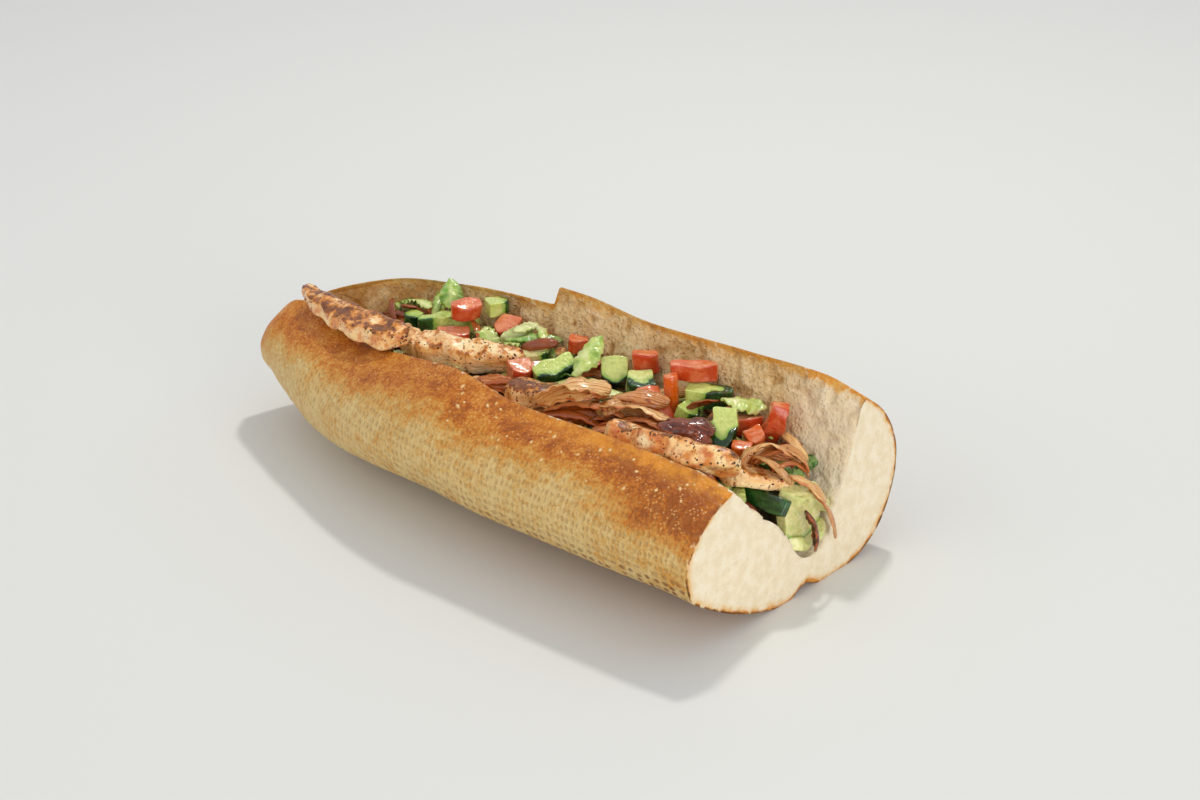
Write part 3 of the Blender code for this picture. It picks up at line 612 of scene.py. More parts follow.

# %% [markdown]
# ## Bread
# The crust is deep gold in a band under the rim, where the oven's heat struck it, and pale tan below, where
# it lay in a perforated tray. The tray leaves a fine grid of marks that turn into brown pits near the
# bottom. Inside the crust's edge the crumb is cream white where it was cut, and greyer and rougher where it
# was torn, with painted shade in its pores and painted light on its bulges. One finish holds all this, so
# that crust and crumb can meet in a ragged line.


# %% Bread
def bread_finish():
    """Baked crust, tray marks, cream crumb and torn crumb in one finish, told apart by the stored numbers."""
    f = Finish("bread", (0.06, (1.0, 0.6, 0.35), 0.002), Roughness=0.62, Specular_IOR_Level=0.3)
    grit = f.noise(0.0011, 3)
    blister = f.cells(0.0016)

    bake = f.plus(f.value("bake"), f.cloud(0.013, 3, 0.3, 0.7, -0.14, 0.14))
    bake = f.plus(bake, f.cloud(0.0042, 3, 0.3, 0.7, -0.13, 0.13))
    bake = f.plus(bake, f.step(grit, 0.3, 0.7, -0.16, 0.16))
    golds = dict(at_25=(206, 164, 92), at_50=(202, 138, 52), at_75=(186, 104, 18))
    crust = f.ramp(bake, (214, 186, 124), (148, 74, 8), **golds)

    tray = f.vector("tray")
    marks = f.cells(0.0025, 0.3, at=tray, stretch=(1, 0.72, 1), flat=True)
    marks = f.step(marks, 0.14, 0.42, 1.0, 0.0)
    marks = f.times(marks, f.cloud(0.003, 2, 0.36, 0.52))
    streaks = f.cloud(0.0016, 2, 0.35, 0.65, at=tray, stretch=(1, 0.22, 1))
    streaks = f.times(streaks, f.value("grid"))
    holes = f.cells(0.0040, 0.35, at=tray, stretch=(1, 1.1, 1), flat=True)
    holes = f.step(holes, 0.2, 0.36, 1.0, 0.0)
    pits = f.times(f.times(holes, f.cloud(0.006, 2, 0.34, 0.5)), f.value("pits"))
    faint = f.times(marks, f.value("grid"))
    crust = f.mix(f.times(streaks, 0.22), crust, (178, 128, 66))
    crust = f.mix(f.times(faint, 0.28), crust, (150, 100, 46))
    crust = f.mix(pits, crust, (112, 50, 10))
    pale = f.times(f.step(blister, 0.10, 0.34, 1.0, 0.0), f.step(f.value("bake"), 0.2, 0.8))
    pale = f.times(pale, f.cloud(0.007, 2, 0.38, 0.56))
    crust = f.mix(f.times(pale, 0.7), crust, (232, 182, 112))
    lip = f.times(f.value("lip"), f.cloud(0.007, 3, 0.34, 0.6, 0.25, 0.85))
    crust = f.mix(lip, crust, (228, 150, 40))

    crumb = f.mix(f.cloud(0.005, 3, 0.3, 0.7), (241, 228, 201), (232, 215, 181))
    crumb = f.mix(f.cloud(0.0013, 2, 0.55, 0.75, 0.0, 0.35), crumb, (216, 194, 154))
    # The torn crumb's colour follows the stored height: painted shade in the pores, painted light on the
    # bulges.
    relief_shading = f.plus(f.value("relief_shading"), f.cloud(0.0014, 3, 0.25, 0.75, -0.2, 0.2))
    torn = f.ramp(relief_shading, (184, 140, 84), (242, 220, 178), at_35=(212, 176, 122), at_60=(226, 196, 146))
    crumb = f.mix(f.value("wall"), crumb, torn)
    greasy = f.times(f.value("grease"), f.cloud(0.012, 3, 0.30, 0.62))
    crumb = f.mix(f.times(greasy, 0.8), crumb, (180, 122, 52))

    rag = f.cloud(0.0042, 4, 0.2, 0.8, -2.4, 2.4)
    ragged = f.plus(f.value("edge"), f.times(rag, f.value("rag")))
    inside = f.step(ragged, 0.4, 1.9)
    toast = f.step(ragged, 0.8, 4.6, 0.85, 0.0)
    crumb = f.mix(f.times(toast, f.cloud(0.006, 2, 0.3, 0.6)), crumb, (222, 172, 98))
    base = f.mix(inside, crust, crumb)

    dents = f.math("SUBTRACT", 1.0, f.plus(f.times(marks, f.value("dent")), pits))
    crust_relief = f.relief(dents, 0.0007)
    crust_relief = f.relief(blister, 0.00025, crust_relief)
    crust_relief = f.relief(grit, 0.0003, crust_relief)
    crumb_relief = f.relief(f.noise(0.0012, 3), 0.0004)
    pores = f.step(f.cells(0.0017), 0.15, 0.5)
    wall_relief = f.relief(pores, 0.0004, f.relief(f.noise(0.0026, 3), 0.0014))
    crumb_relief = f.blend(f.value("torn"), crumb_relief, wall_relief)
    both = f.blend(inside, crust_relief, crumb_relief)
    rough = f.step(inside, 0.0, 1.0, 0.45, 0.92)
    return f.wear(base, both, rough)


def bread_numbers(points, stored):
    """Numbers from 0 to 1 (and the edge in millimetres) that place the parts of the finish on the surface."""
    x, _, z = points.T
    rim = stored["rim"] / MM
    slow = layered_noise(points, 30 * MM, 2, 61)
    cut_end = smoothstep((x - 70 * MM) / (65 * MM))
    band = 13 + 7 * slow + 4 * cut_end
    bake = 1 - smoothstep((rim - band) / 20)
    bake = 0.06 + 0.12 * cut_end + bake * (0.72 + 0.1 * cut_end)
    bake = bake + 0.3 * (1 - smoothstep((z - 17 * MM) / (8 * MM))) * smoothstep((x + 60 * MM) / (120 * MM))
    tip = 1 - smoothstep((x + HALF_LENGTH) / (60 * MM))
    bake = bake * (1 - 0.3 * tip) + 0.14 * tip
    low = (1 - smoothstep((z - 25 * MM) / (12 * MM))) * smoothstep((z - 6 * MM) / (6 * MM))
    grid = smoothstep((rim - 9) / 16) * (1 - 0.7 * tip) * (1 - 0.5 * low)
    pits = low * smoothstep((x + 90 * MM) / (130 * MM)) * (0.55 + 0.45 * cut_end)
    grease = stored["wall"] * (1 - smoothstep((x + 82 * MM) / (34 * MM)))
    near_cut = smoothstep((x - 98 * MM) / (26 * MM)) * (1 - 0.35 * smoothstep((z - 30 * MM) / (20 * MM)))
    wall = stored["wall"] * (1 - near_cut)
    outside = stored["edge"] < 0
    flap = stored["back"] * (1 - smoothstep((rim - 2) / 6))
    bake = bake * (1 - 0.55 * flap)
    edge = stored["edge"] / MM - 1.2 * stored["wall"] * stored["back"]
    chipped = outside * (0.5 + 2.6 * layered_noise(points, 7 * MM, 2, 83))
    edge = edge + chipped * smoothstep((x - 120 * MM) / (15 * MM))
    golden = 0.12 + 0.78 * smoothstep((x - 10 * MM) / (90 * MM))
    return {
        "edge": edge,
        "rag": 1 - 0.65 * stored["cut"],
        "bake": bake,
        "lip": (1 - smoothstep((rim - 3) / 9)) * golden * (1 - 0.6 * flap),
        "grid": grid,
        "pits": pits,
        "dent": 0.45 * grid,
        "grease": grease,
        "wall": wall,
        "torn": stored["wall"] * (1 - 0.6 * near_cut),
        "relief_shading": stored["relief_shading"],
        "tray": np.stack([x, stored["arc"], 0 * x], axis=1),
    }


numbers = bread_numbers(roll_points, roll_stored)
bread = make_piece("bread", roll_points, roll_triangles, bread_finish(), "crust", ["bread_roll"], **numbers)
print("bread", [round(s / MM, 1) for s in bread.dimensions], "mm")

# %% [markdown]
# ## Grilled chicken
# Each strip of breast is a rounded slab, blunt at its ends. Its fibres run lengthwise, so its noise is
# stretched along it. The grill and the spices darken the top, while the sides where it was sliced stay pale.

# %% Sizes and turns of the chicken
# Length, width and thickness in millimetres, the taper toward +X, the turns in degrees about Z, Y and X,
# how charred the top is, and how orange the meat is. The rows are chicken_1, chicken_2 and so on.
CHICKEN = (
    ((76, 13, 8), -0.3, (-12, -1, 8), 0.56, 0.75),
    ((56, 12, 12), 0.15, (22, 2, 20), 0.3, 0.25),
    ((26, 14, 9), 0.1, (30, 0, 0), 0.75, 0.5),
    ((60, 17, 10), 0.0, (4, -3, -32), 0.5, 0.9),
    ((30, 13, 6), 0.35, (28, 8, -8), 0.35, 0.3),
)

# Where a knife has scored a strip, as shares of its length from the middle.
KNIFE_CUTS = {2: (-0.33, 0.06), 4: (0.12,)}


def chicken_strip(size, taper, seed, rings=170, sides=72, cuts=()):
    """A superellipse slab carried along a bent line, full for most of its length, with lumps and fibres. Each
    cut is a narrow valley across it, a bell curve of the distance to the knife's slanting line."""
    length, width, thickness = np.array(size) * MM
    along = np.cos(np.linspace(math.pi, 0, rings + 2))[1:-1]
    angle = np.linspace(0, math.tau, sides, endpoint=False)
    across = np.sign(np.cos(angle)) * np.abs(np.cos(angle)) ** 0.5
    up = np.sign(np.sin(angle)) * np.abs(np.sin(angle)) ** 0.5
    bend = 0.05 * length
    t = along[:, None]
    full = (1 - np.abs(t) ** 5) ** 0.5 * (1 - taper * t)
    y = across * width / 2 * full + bend * (t * t - 0.3)
    shape = np.stack([t * length / 2 + 0 * angle, y, up * thickness / 2 * full**0.7], -1)
    ends = [(side * length / 2, 0.7 * bend, 0) for side in (-1, 1)]
    points, triangles = tube(shape, *ends)
    local = points.copy()
    points = roughened(points, 0.06 * width, 14 * MM, seed)
    fibres = layered_noise(local * [0.28, 1, 1], 1.7 * MM, 2, seed)
    knobs = layered_noise(local, 5 * MM, 2, seed + 9)
    cracks = smoothstep((lattice_noise(local * [1, 0.5, 0.5], 7 * MM, seed + 5) - 0.45) / 0.25)
    slices = sum(np.exp(-(((local[:, 0] - at * length + 0.12 * local[:, 1]) / (0.6 * MM)) ** 2)) for at in cuts)
    out = 0.14 * MM * fibres + 0.15 * MM * knobs - 0.5 * MM * cracks - 1.1 * MM * slices
    normals = normals_of(points, triangles)
    top = smoothstep((normals[:, 2] + 0.05 + 0.45 * knobs) / 0.75)
    return points + normals * out[:, None], triangles, local, top


def chicken_finish():
    """Pale meat along its fibres, orange where it is spiced, gold and then brown as it chars."""
    f = Finish("grilled_chicken", (0.08, (1.0, 0.45, 0.25), 0.0015), (0.15, 0.2), Roughness=0.38)
    grain = f.vector("grain")
    meat = f.mix(f.cloud(0.004, 3, 0.3, 0.7, at=grain, stretch=(0.3, 1, 1)), (255, 230, 178), (246, 196, 122))
    orange = f.mix(f.cloud(0.003, 3, 0.3, 0.7), (228, 140, 40), (198, 92, 16))
    spiced = f.times(f.value("spice"), f.cloud(0.006, 4, 0.36, 0.62))
    meat = f.mix(spiced, meat, orange)
    char = f.plus(f.value("char"), f.cloud(0.0045, 4, 0.3, 0.7, -0.36, 0.36))
    burnt = f.mix(f.cloud(0.0022, 3, 0.3, 0.7), (154, 88, 24), (96, 46, 10))
    base = f.mix(f.step(char, 0.22, 0.5), meat, (218, 138, 46))
    base = f.mix(f.step(char, 0.42, 0.75), base, burnt)
    rub = f.cloud(0.0013, 3, 0.585, 0.65)
    rub = f.times(rub, f.cloud(0.008, 2, 0.38, 0.58, 0.25, 1.0))
    base = f.mix(f.times(rub, 0.85), base, (122, 62, 22))
    relief = f.relief(f.noise(0.0012, 3, grain, (0.3, 1, 1)), 0.0005)
    relief = f.relief(f.noise(0.0028, 3), 0.0007, relief)
    return f.wear(base, relief, f.cloud(0.004, 2, 0.3, 0.7, 0.25, 0.5))


meat_wear = chicken_finish()
heap = [(roll_points, roll_triangles)]
for number, (size, taper, turns, charred, orange) in enumerate(CHICKEN, 1):
    node = f"chicken_{number}"
    points, triangles, local, top = chicken_strip(size, taper, number, cuts=KNIFE_CUTS.get(number, ()))
    points = turned(points, turns, middle_of(node))
    up = smoothstep((normals_of(points, triangles)[:, 2] + 0.1) / 0.7)
    stored = {"grain": local, "char": charred * up * top, "spice": orange}
    make_piece(f"meat_{number}", points, triangles, meat_wear, "grilled_chicken", [node], **stored)
    heap.append((points, triangles))
print(len(CHICKEN), "strips of chicken")

# %% [markdown]
# ## Diced cucumber and tomato
# A dice is a rounded box whose +X side bulges as the skin does. Each point stores how deep it lies under
# the skin, and the finish reads that depth: a thin dark skin, a brighter layer below it, then the wet flesh.

# %% Sizes and turns of the dice
# Length, width and thickness in millimetres, the turns in degrees about Z, Y and X, a tint from 0 to 1, and
# where the skin wraps round a corner, how far it reaches in millimetres.
CUCUMBER = (
    ((7, 8, 8), (-90, 10, 0), 0.0),
    ((27, 9, 8), (241, 0, 8), 0.3),
    ((10, 8, 6), (60, 0, 0), 0.4),
    ((12, 9, 6), (35, -6, 0), 1.0),
    ((9, 18, 8), (-20, 25, 15), 0.3),
    ((12, 11, 8), (-50, 45, 0), 0.6),
    ((13, 11, 9), (-45, 12, 0), 0.7, 3.5),
    ((14, 7, 3), (60, -8, 0), 0.7),
    ((11, 6, 3), (30, 10, 0), 0.7),
    ((19, 9, 8), (28, 0, 0), 0.4, 5.5),
    ((18, 10, 8), (-60, 38, 0), 0.5, 5.0),
    ((9, 7, 6), (0, 20, 0), 0.2),
    ((5, 20, 7), (-90, -30, 0), 0.0, 3.0),
    ((18, 22, 5), (0, 84, 0), 1.0),
)
TOMATO = (
    ((8, 14, 7), (-50, 15, 0), 0.7),
    ((8, 13, 7), (-40, 10, 0), 0.6),
    ((11, 10, 8), (-80, 25, 0), 0.7),
    ((9, 9, 8), (-30, 20, 0), 0.8),
    ((7, 8, 6), (-60, 0, 0), 0.5),
    ((7, 6, 6), (-30, 10, 0), 0.5),
    ((6, 11, 9), (-50, 0, 0), 0.6),
    ((9, 10, 8), (-35, 25, 0), 0.4),
    ((7, 19, 7), (-50, 0, 0), 0.5),
    ((6, 6, 17), (-50, 0, 4), 0.1),
    ((7, 14, 7), (-45, 0, 0), 1.0),
    ((7, 18, 7), (-50, 10, 75), 0.5),
    ((8, 8, 8), (-20, 30, 20), 0.1),
    ((7, 8, 7), (-60, 10, 0), 0.15),
    ((6, 7, 6), (-30, 20, 0), 1.0),
)

# How far to either side the curved skin spreads, in degrees.
CUCUMBER_SKIN = 28
TOMATO_SKIN = 40


def dice(size, skin, seed, sides=64, rings=26, crisp=0.11):
    """A rounded box: its outline sums high powers of the distances to its walls, and each ring of it shrinks
    toward the top and bottom as a superellipse does. Also the depth under the skin, in millimetres."""
    length, width, thickness = np.array(size) * MM
    angle = np.linspace(0, math.tau, sides, endpoint=False)
    walls = [(0, 0.5), (skin, 0.5), (-skin, 0.5), (90, 0.5), (180, 0.5), (270, 0.5)]
    wall_sum = sum(np.maximum(0, np.cos(angle - math.radians(a)) / d) ** 10 for a, d in walls)
    outline = (wall_sum**-0.1)[:, None] * np.stack([np.cos(angle), np.sin(angle)], axis=1)
    tilt = np.linspace(-math.pi / 2, math.pi / 2, rings + 2)[1:-1]
    scale = np.cos(tilt) ** crisp
    height = np.sign(tilt) * np.abs(np.sin(tilt)) ** crisp / 2
    x, y = (scale[:, None] * outline[:, k] * side for k, side in enumerate((length, width)))
    level = np.stack([x, y, height[:, None] * thickness + 0 * angle], -1)
    points, triangles = tube(level, (0, 0, -0.5 * thickness), (0, 0, 0.5 * thickness))
    flat = points[:, :2] / [length, width]
    ways = np.array([[math.cos(math.radians(a)), math.sin(math.radians(a))] for a in (0, skin, -skin)])
    depth = (0.5 - (flat @ ways.T).max(axis=1)) * length / MM
    local = points.copy()
    points = roughened(points, 0.05 * min(length, width, thickness), 9 * MM, seed)
    out = 0.10 * MM * layered_noise(local, 2.2 * MM, 2, seed) * smoothstep(depth / 0.8)
    return points + normals_of(points, triangles) * out[:, None], triangles, local, depth


def cucumber_finish():
    """Wet pale flesh, brighter under the skin, and the dark skin where the depth is least."""
    f = Finish("cucumber", (0.15, (0.6, 1.0, 0.3), 0.0015), (0.7, 0.1), Roughness=0.2, IOR=1.36)
    grain, depth = f.vector("grain"), f.value("depth")
    depth = f.plus(depth, f.cloud(0.002, 2, 0.2, 0.8, -0.3, 0.3, at=grain))
    flesh = f.ramp(f.value("tint"), (184, 206, 96), (232, 224, 156), at_60=(214, 224, 132))
    flesh = f.mix(f.cloud(0.0028, 3, 0.45, 0.62, 0.0, 0.4, at=grain), flesh, (176, 194, 84))
    flesh = f.mix(f.step(f.cells(0.0021, at=grain), 0.12, 0.28, 0.55, 0.0), flesh, (228, 232, 172))
    under = f.mix(f.step(depth, 0.8, 3.2), (132, 176, 62), flesh)
    skin = f.mix(f.cloud(0.0025, 2, 0.35, 0.7, at=grain, stretch=(1, 0.3, 1)), (18, 56, 18), (40, 92, 30))
    base = f.mix(f.step(depth, 0.75, 1.25), skin, under)
    relief = f.relief(f.noise(0.0016, 3, grain), 0.0006)
    return f.wear(base, relief, f.cloud(0.003, 2, 0.3, 0.7, 0.12, 0.3))


def tomato_finish():
    """Red or orange flesh with pale veins, and a smoother, deeper skin."""
    f = Finish("tomato", (0.15, (1.0, 0.35, 0.2), 0.0015), (0.7, 0.1), Roughness=0.18, IOR=1.36)
    grain, depth, tint = f.vector("grain"), f.value("depth"), f.value("tint")
    ripe = f.mix(f.step(tint, 0.1, 0.5), (222, 98, 12), (218, 102, 54))
    flesh = f.mix(f.step(tint, 0.5, 1.0), ripe, (214, 142, 102))
    veins = f.cloud(0.004, 4, 0.42, 0.6, 0.0, 0.8, at=grain, stretch=(1, 0.5, 1))
    flesh = f.mix(veins, flesh, (236, 156, 112))
    flesh = f.mix(f.cloud(0.0025, 2, 0.60, 0.70, 0.0, 0.6, at=grain), flesh, (184, 52, 28))
    skin = f.mix(f.step(tint, 0.1, 0.4), (218, 94, 10), (198, 66, 24))
    skin = f.mix(f.cloud(0.004, 3, 0.42, 0.66, 0.0, 0.6), skin, (220, 118, 74))
    base = f.mix(f.step(depth, 0.3, 0.8), skin, flesh)
    relief = f.relief(f.noise(0.0018, 3, grain), 0.0006)
    return f.wear(base, relief, f.cloud(0.003, 2, 0.3, 0.7, 0.1, 0.28))


cucumber_wear, tomato_wear = cucumber_finish(), tomato_finish()
for table, skin, crisp, finish, kind in (
    (CUCUMBER, CUCUMBER_SKIN, 0.11, cucumber_wear, "cucumber"),
    (TOMATO, TOMATO_SKIN, 0.17, tomato_wear, "tomato"),
):
    for number, (size, turns, tint, *wrap) in enumerate(table, 1):
        node = f"{kind}_{number}"
        points, triangles, local, depth = dice(size, skin, number, crisp=crisp)
        stored = {"grain": local, "depth": np.maximum(depth - sum(wrap), 0.0), "tint": tint}
        points = turned(points, turns, middle_of(node))
        make_piece(f"{kind}_dice_{number}", points, triangles, finish, kind, [node], **stored)
        heap.append((points, triangles))
print(len(CUCUMBER), "pieces of cucumber and", len(TOMATO), "of tomato")

# %% [markdown]
# ## Fried onion and lettuce
# A petal of onion and a leaf are thin sheets: narrowed to their ends, cupped across, twisted and bent. The
# onion is glassy and browned along its edges, with veins from end to end. The leaf has a pale rib.

# %% Sizes and turns of the sheets
# Length, width and thickness in millimetres; how far it bends, is cupped and twists, in degrees; its turns;
# and a tint from 0, pale, to 1, dark.
ONION = (
    ((32, 15, 1.3), (70, 60, 20), (50, -6, 12), 0.15),
    ((34, 15, 1.6), (30, 170, 0), (42, 0, 35), 0.6),
    ((34, 10, 1.5), (40, 110, 30), (42, 0, 20), 0.45),
    ((24, 14, 1.6), (60, 150, 60), (20, 0, 10), 1.0),
    ((32, 9, 1.5), (150, 40, 30), (35, 0, 0), 0.35),
    ((38, 6, 1.3), (70, 40, 50), (0, 76, 0), 0.6),
    ((17, 3, 1.4), (40, 40, 20), (60, 62, 0), 0.4),
    ((24, 9, 1.5), (60, 80, 30), (30, 0, 10), 0.4),
    ((26, 8, 1.5), (50, 70, 20), (25, 4, 20), 0.5),
)
LETTUCE = (
    ((14, 12, 1.2), (20, 110, 0), (130, -40, 0), 0.5),
    ((24, 7, 1.2), (30, 40, 60), (38, 0, 10), 0.6),
    ((22, 12, 1.2), (20, 100, 20), (95, -30, 0), 0.3),
    ((18, 12, 1.2), (25, 70, 40), (30, 8, 0), 0.2),
    ((13, 7, 1.2), (30, 40, 20), (80, 0, 0), 0.1),
)


def thin_sheet(size, form, seed, pointed, rows=60, columns=24, frill=0.0):
    """A sheet narrowed to its ends, cupped across its width, twisted and bent along its length, as two equal
    grids a thickness apart with a rim between them. Also the place on it, along and across, from -1 to 1."""
    length, width, thickness = np.array(size) * MM
    bend, cup, twist = np.radians(form)
    u = np.linspace(-1, 1, rows)[:, None] * np.ones(columns)
    v = np.ones(rows)[:, None] * np.linspace(-1, 1, columns)

    def surface(u, v):
        breadth = width / 2 * (1 - 0.92 * np.abs(u) ** pointed) ** 0.75
        turn = cup / 2 * v
        y = breadth * np.sin(turn) / (cup / 2)
        z = -breadth * (1 - np.cos(turn)) / (cup / 2)
        z = z + 0.05 * width * np.sin(7 * u + seed) * v
        z = z + frill * width * np.sin(19 * u + 2 * seed) * v**2 * np.sign(v)
        spin = twist / 2 * u
        y, z = y * np.cos(spin) - z * np.sin(spin), y * np.sin(spin) + z * np.cos(spin)
        radius, angle = length / bend, bend * u / 2
        return np.stack([(radius + z) * np.sin(angle), y, (radius + z) * np.cos(angle) - radius], axis=-1)

    step = 1e-4
    middle = surface(u, v)
    normal = np.cross(surface(u + step, v) - surface(u - step, v), surface(u, v + step) - surface(u, v - step))
    normal /= np.linalg.norm(normal, axis=-1, keepdims=True)
    thin = thickness / 2 * (0.35 + 0.65 * np.sqrt(np.clip(1 - np.abs(v) ** 6, 0, 1)))[..., None]
    top, bottom = (middle + normal * thin).reshape(-1, 3), (middle - normal * thin).reshape(-1, 3)
    n = rows * columns
    faces = grid_triangles(rows, columns)
    right = np.arange(1, rows) * columns + columns - 1
    far = (rows - 1) * columns + np.arange(columns - 2, -1, -1)
    edge = np.concatenate([np.arange(columns), right, far, np.arange(rows - 2, 0, -1) * columns])
    after = np.roll(edge, -1)
    rim = np.vstack([np.stack([edge, after, n + after], -1), np.stack([edge, n + after, n + edge], -1)])
    triangles = np.vstack([faces[:, ::-1], n + faces, rim])
    on = np.stack([u.ravel(), v.ravel(), 0 * u.ravel()], axis=1)
    points, on = np.vstack([top, bottom]), np.vstack([on, on])
    a, b, c = (points[triangles[:, k]] for k in range(3))
    if np.einsum("ij,ij->", a, np.cross(b, c)) < 0:
        triangles = triangles[:, ::-1]
    return points, triangles, on


def layers_of(size, form, seed, pointed, frill, count):
    """Sheets nested under each other as onion's layers are, each blunter than the last and slipped sideways."""
    random = np.random.default_rng(seed + 50)
    sheets = []
    for layer in range(count):
        shrink = 1 - 0.09 * layer
        inner = (size[0] * shrink, size[1] * shrink, size[2] * (1 if count == 1 else 0.6))
        loose = np.add(form, random.uniform(-12, 12, 3) * layer)
        points, triangles, on = thin_sheet(inner, loose, seed + layer, pointed + 2 * layer, frill=frill)
        lean = math.radians(random.uniform(-16, 16) * (layer > 0))
        y, z = points[:, 1].copy(), points[:, 2].copy()
        points[:, 1] = y * math.cos(lean) - z * math.sin(lean)
        points[:, 2] = y * math.sin(lean) + z * math.cos(lean)
        slip = np.array([random.uniform(-2, 2), random.uniform(-2, 2), -1.0 * layer]) * MM
        points = points + slip * (layer > 0)
        sheets.append((points, triangles, on + [0, 0, layer]))
    return joined(sheets)


def onion_finish():
    """Glassy layers veined from end to end, browned along their edges and seared in spots."""
    f = Finish("fried_onion", (0.15, (1.0, 0.5, 0.25), 0.0012), (0.5, 0.08), Roughness=0.16, IOR=1.4)
    on, tint = f.vector("on"), f.value("tint")
    across = f.node("SeparateXYZ", {0: on}).outputs["Y"]
    veins = f.noise(0.16, 3, on, (0.12, 1, 1))
    pale = f.mix(f.step(veins, 0.38, 0.62), (244, 204, 140), (222, 160, 80))
    dark = f.mix(f.step(veins, 0.38, 0.62), (198, 102, 24), (146, 64, 10))
    deep = f.mix(f.cloud(0.006, 3, 0.3, 0.7), (74, 28, 20), (126, 60, 40))
    base = f.mix(f.step(tint, 0.05, 0.65), pale, dark)
    base = f.mix(f.step(tint, 0.65, 1.0), base, deep)
    line = f.times(f.step(veins, 0.53, 0.56), f.step(veins, 0.59, 0.62, 1.0, 0.0))
    base = f.mix(f.times(line, 0.7), base, (168, 74, 26))
    side = f.math("ABSOLUTE", across)
    side = f.plus(side, f.cloud(0.005, 3, 0.25, 0.75, -0.4, 0.25))
    base = f.mix(f.step(side, 0.8, 1.0, 0.0, 0.7), base, (196, 96, 32))
    seared = f.cloud(0.0045, 4, 0.62, 0.74, 0.0, 0.7)
    base = f.mix(seared, base, (104, 44, 18))
    relief = f.relief(veins, 0.0005, f.relief(f.noise(0.003, 2), 0.0006))
    return f.wear(base, relief, f.cloud(0.003, 2, 0.3, 0.7, 0.1, 0.28))


def lettuce_finish():
    """Green with a pale rib and veins, lighter or darker by its tint."""
    f = Finish("lettuce", (0.15, (0.4, 1.0, 0.2), 0.0012), (0.5, 0.12), Roughness=0.3)
    on, tint = f.vector("on"), f.value("tint")
    across = f.node("SeparateXYZ", {0: on}).outputs["Y"]
    tint = f.plus(tint, f.cloud(0.006, 3, 0.3, 0.7, -0.2, 0.2))
    green = f.ramp(tint, (228, 230, 166), (62, 112, 28), at_30=(186, 204, 92), at_60=(114, 164, 48))
    rib = f.step(f.math("ABSOLUTE", across), 0.03, 0.22, 0.35, 0.0)
    green = f.mix(rib, green, (222, 230, 170))
    veins = f.cells(0.0034)
    green = f.mix(f.step(veins, 0.3, 0.6, 0.0, 0.3), green, (206, 222, 140))
    relief = f.relief(veins, 0.0007, f.relief(f.noise(0.002, 2), 0.0004))
    return f.wear(green, relief)


onion_wear, leaf_wear = onion_finish(), lettuce_finish()
for table, solid, layers, pointed, frill, finish, kind, word in (
    (ONION, "onion", 3, 3, 0.03, onion_wear, "fried_onion", "onion_petal"),
    (LETTUCE, "lettuce", 1, 1.8, 0.05, leaf_wear, "lettuce", "leaf"),
):
    for number, (size, form, turns, tint) in enumerate(table, 1):
        node = f"{solid}_{number}"
        points, triangles, on = layers_of(size, form, number, pointed, frill, layers)
        points = turned(points, turns, middle_of(node))
        make_piece(f"{word}_{number}", points, triangles, finish, kind, [node], on=on, tint=tint)
        heap.append((points, triangles))
print(len(ONION), "petals of onion and", len(LETTUCE), "leaves")

# %% [markdown]
# ## Tangled onion
# The onion was fried in wide slices, so its petals lie in loose knots over the meat. The main petals above
# carry three knots of further ones: wide and pale on top, narrow, darker and more curled below. Two strands
# and a burnt tip hang over the fold at the cut end.

# %% Tangled onion
# Size, bend, cup and twist, turns, middle of the box (all as above), and tint.
TANGLE = (
    ((30, 17, 0.7), (70, 70, 30), (42, -4, -40), (34, -7, 57), 0.0),
    ((34, 8, 0.8), (60, 120, 20), (30, 0, -30), (42, -7, 53), 0.45),
    ((30, 7, 0.8), (70, 140, -30), (22, 2, -10), (38, -11, 49.5), 0.75),
    ((14, 7, 0.8), (150, 60, 20), (80, 0, 20), (51, 1, 54), 0.3),
    ((36, 12, 0.7), (60, 80, 30), (18, -2, -38), (62, 2, 53.5), 0.1),
    ((32, 6, 0.8), (80, 120, -20), (8, 0, -20), (68, -1, 51.5), 0.5),
    ((26, 11, 0.8), (80, 120, 40), (-8, 2, -36), (86, 4, 54), 0.95),
    ((18, 8, 0.8), (110, 90, -40), (-40, 10, 10), (93, 1, 52), 0.9),
    ((26, 4, 0.8), (90, 60, 60), (24, 0, 0), (58, -4, 49), 0.6),
    ((24, 4, 0.8), (40, 80, 50), (50, 0, 30), (52, 5, 50), 0.55),
    ((30, 10, 0.7), (150, 50, 20), (50, -6, -30), (123, 4, 54), 0.05),
    ((26, 5, 0.8), (130, 50, -30), (30, 6, -30), (128, 8, 52), 0.35),
    ((20, 4, 0.8), (120, 60, 60), (64, 20, 0), (132, 8, 49), 0.5),
    ((22, 3, 0.8), (100, 60, 90), (10, 24, 20), (126, 2, 50), 0.25),
    ((16, 5, 0.8), (90, 60, 40), (-70, 0, 10), (112, 8, 50), 0.3),
    ((24, 6, 0.8), (60, 90, 20), (4, 0, -20), (66, -13, 49), 0.7),
    ((20, 5, 0.8), (90, 60, 30), (30, 0, 0), (-4, -3, 49), 0.6),
    ((22, 7, 0.8), (60, 80, -30), (20, 0, -20), (12, -6, 53), 0.4),
    ((20, 5, 0.8), (60, 60, 30), (48, 40, 20), (140, 8, 44), 0.2),
    ((28, 4, 0.8), (50, 70, 50), (66, 62, 30), (142, 16, 31), 0.35),
    ((20, 6, 0.9), (60, 120, 30), (70, 74, 10), (142.5, 8, 27), 1.0),
)
sheets = []
for number, (size, form, turns, place, tint) in enumerate(TANGLE):
    points, triangles, on = thin_sheet(size, form, number, 5.0, rows=48, columns=18, frill=0.03)
    points = turned(points, turns, np.array(place) * MM)
    sheets.append((points, triangles, on, np.full(len(points), tint)))
    heap.append((points, triangles))
points, triangles, on, tint = joined(sheets)
make_piece("onion_tangle", points, triangles, onion_wear, "fried_onion", ["lettuce_bed"], on=on, tint=tint)
print("the knots hold", len(TANGLE), "more petals")
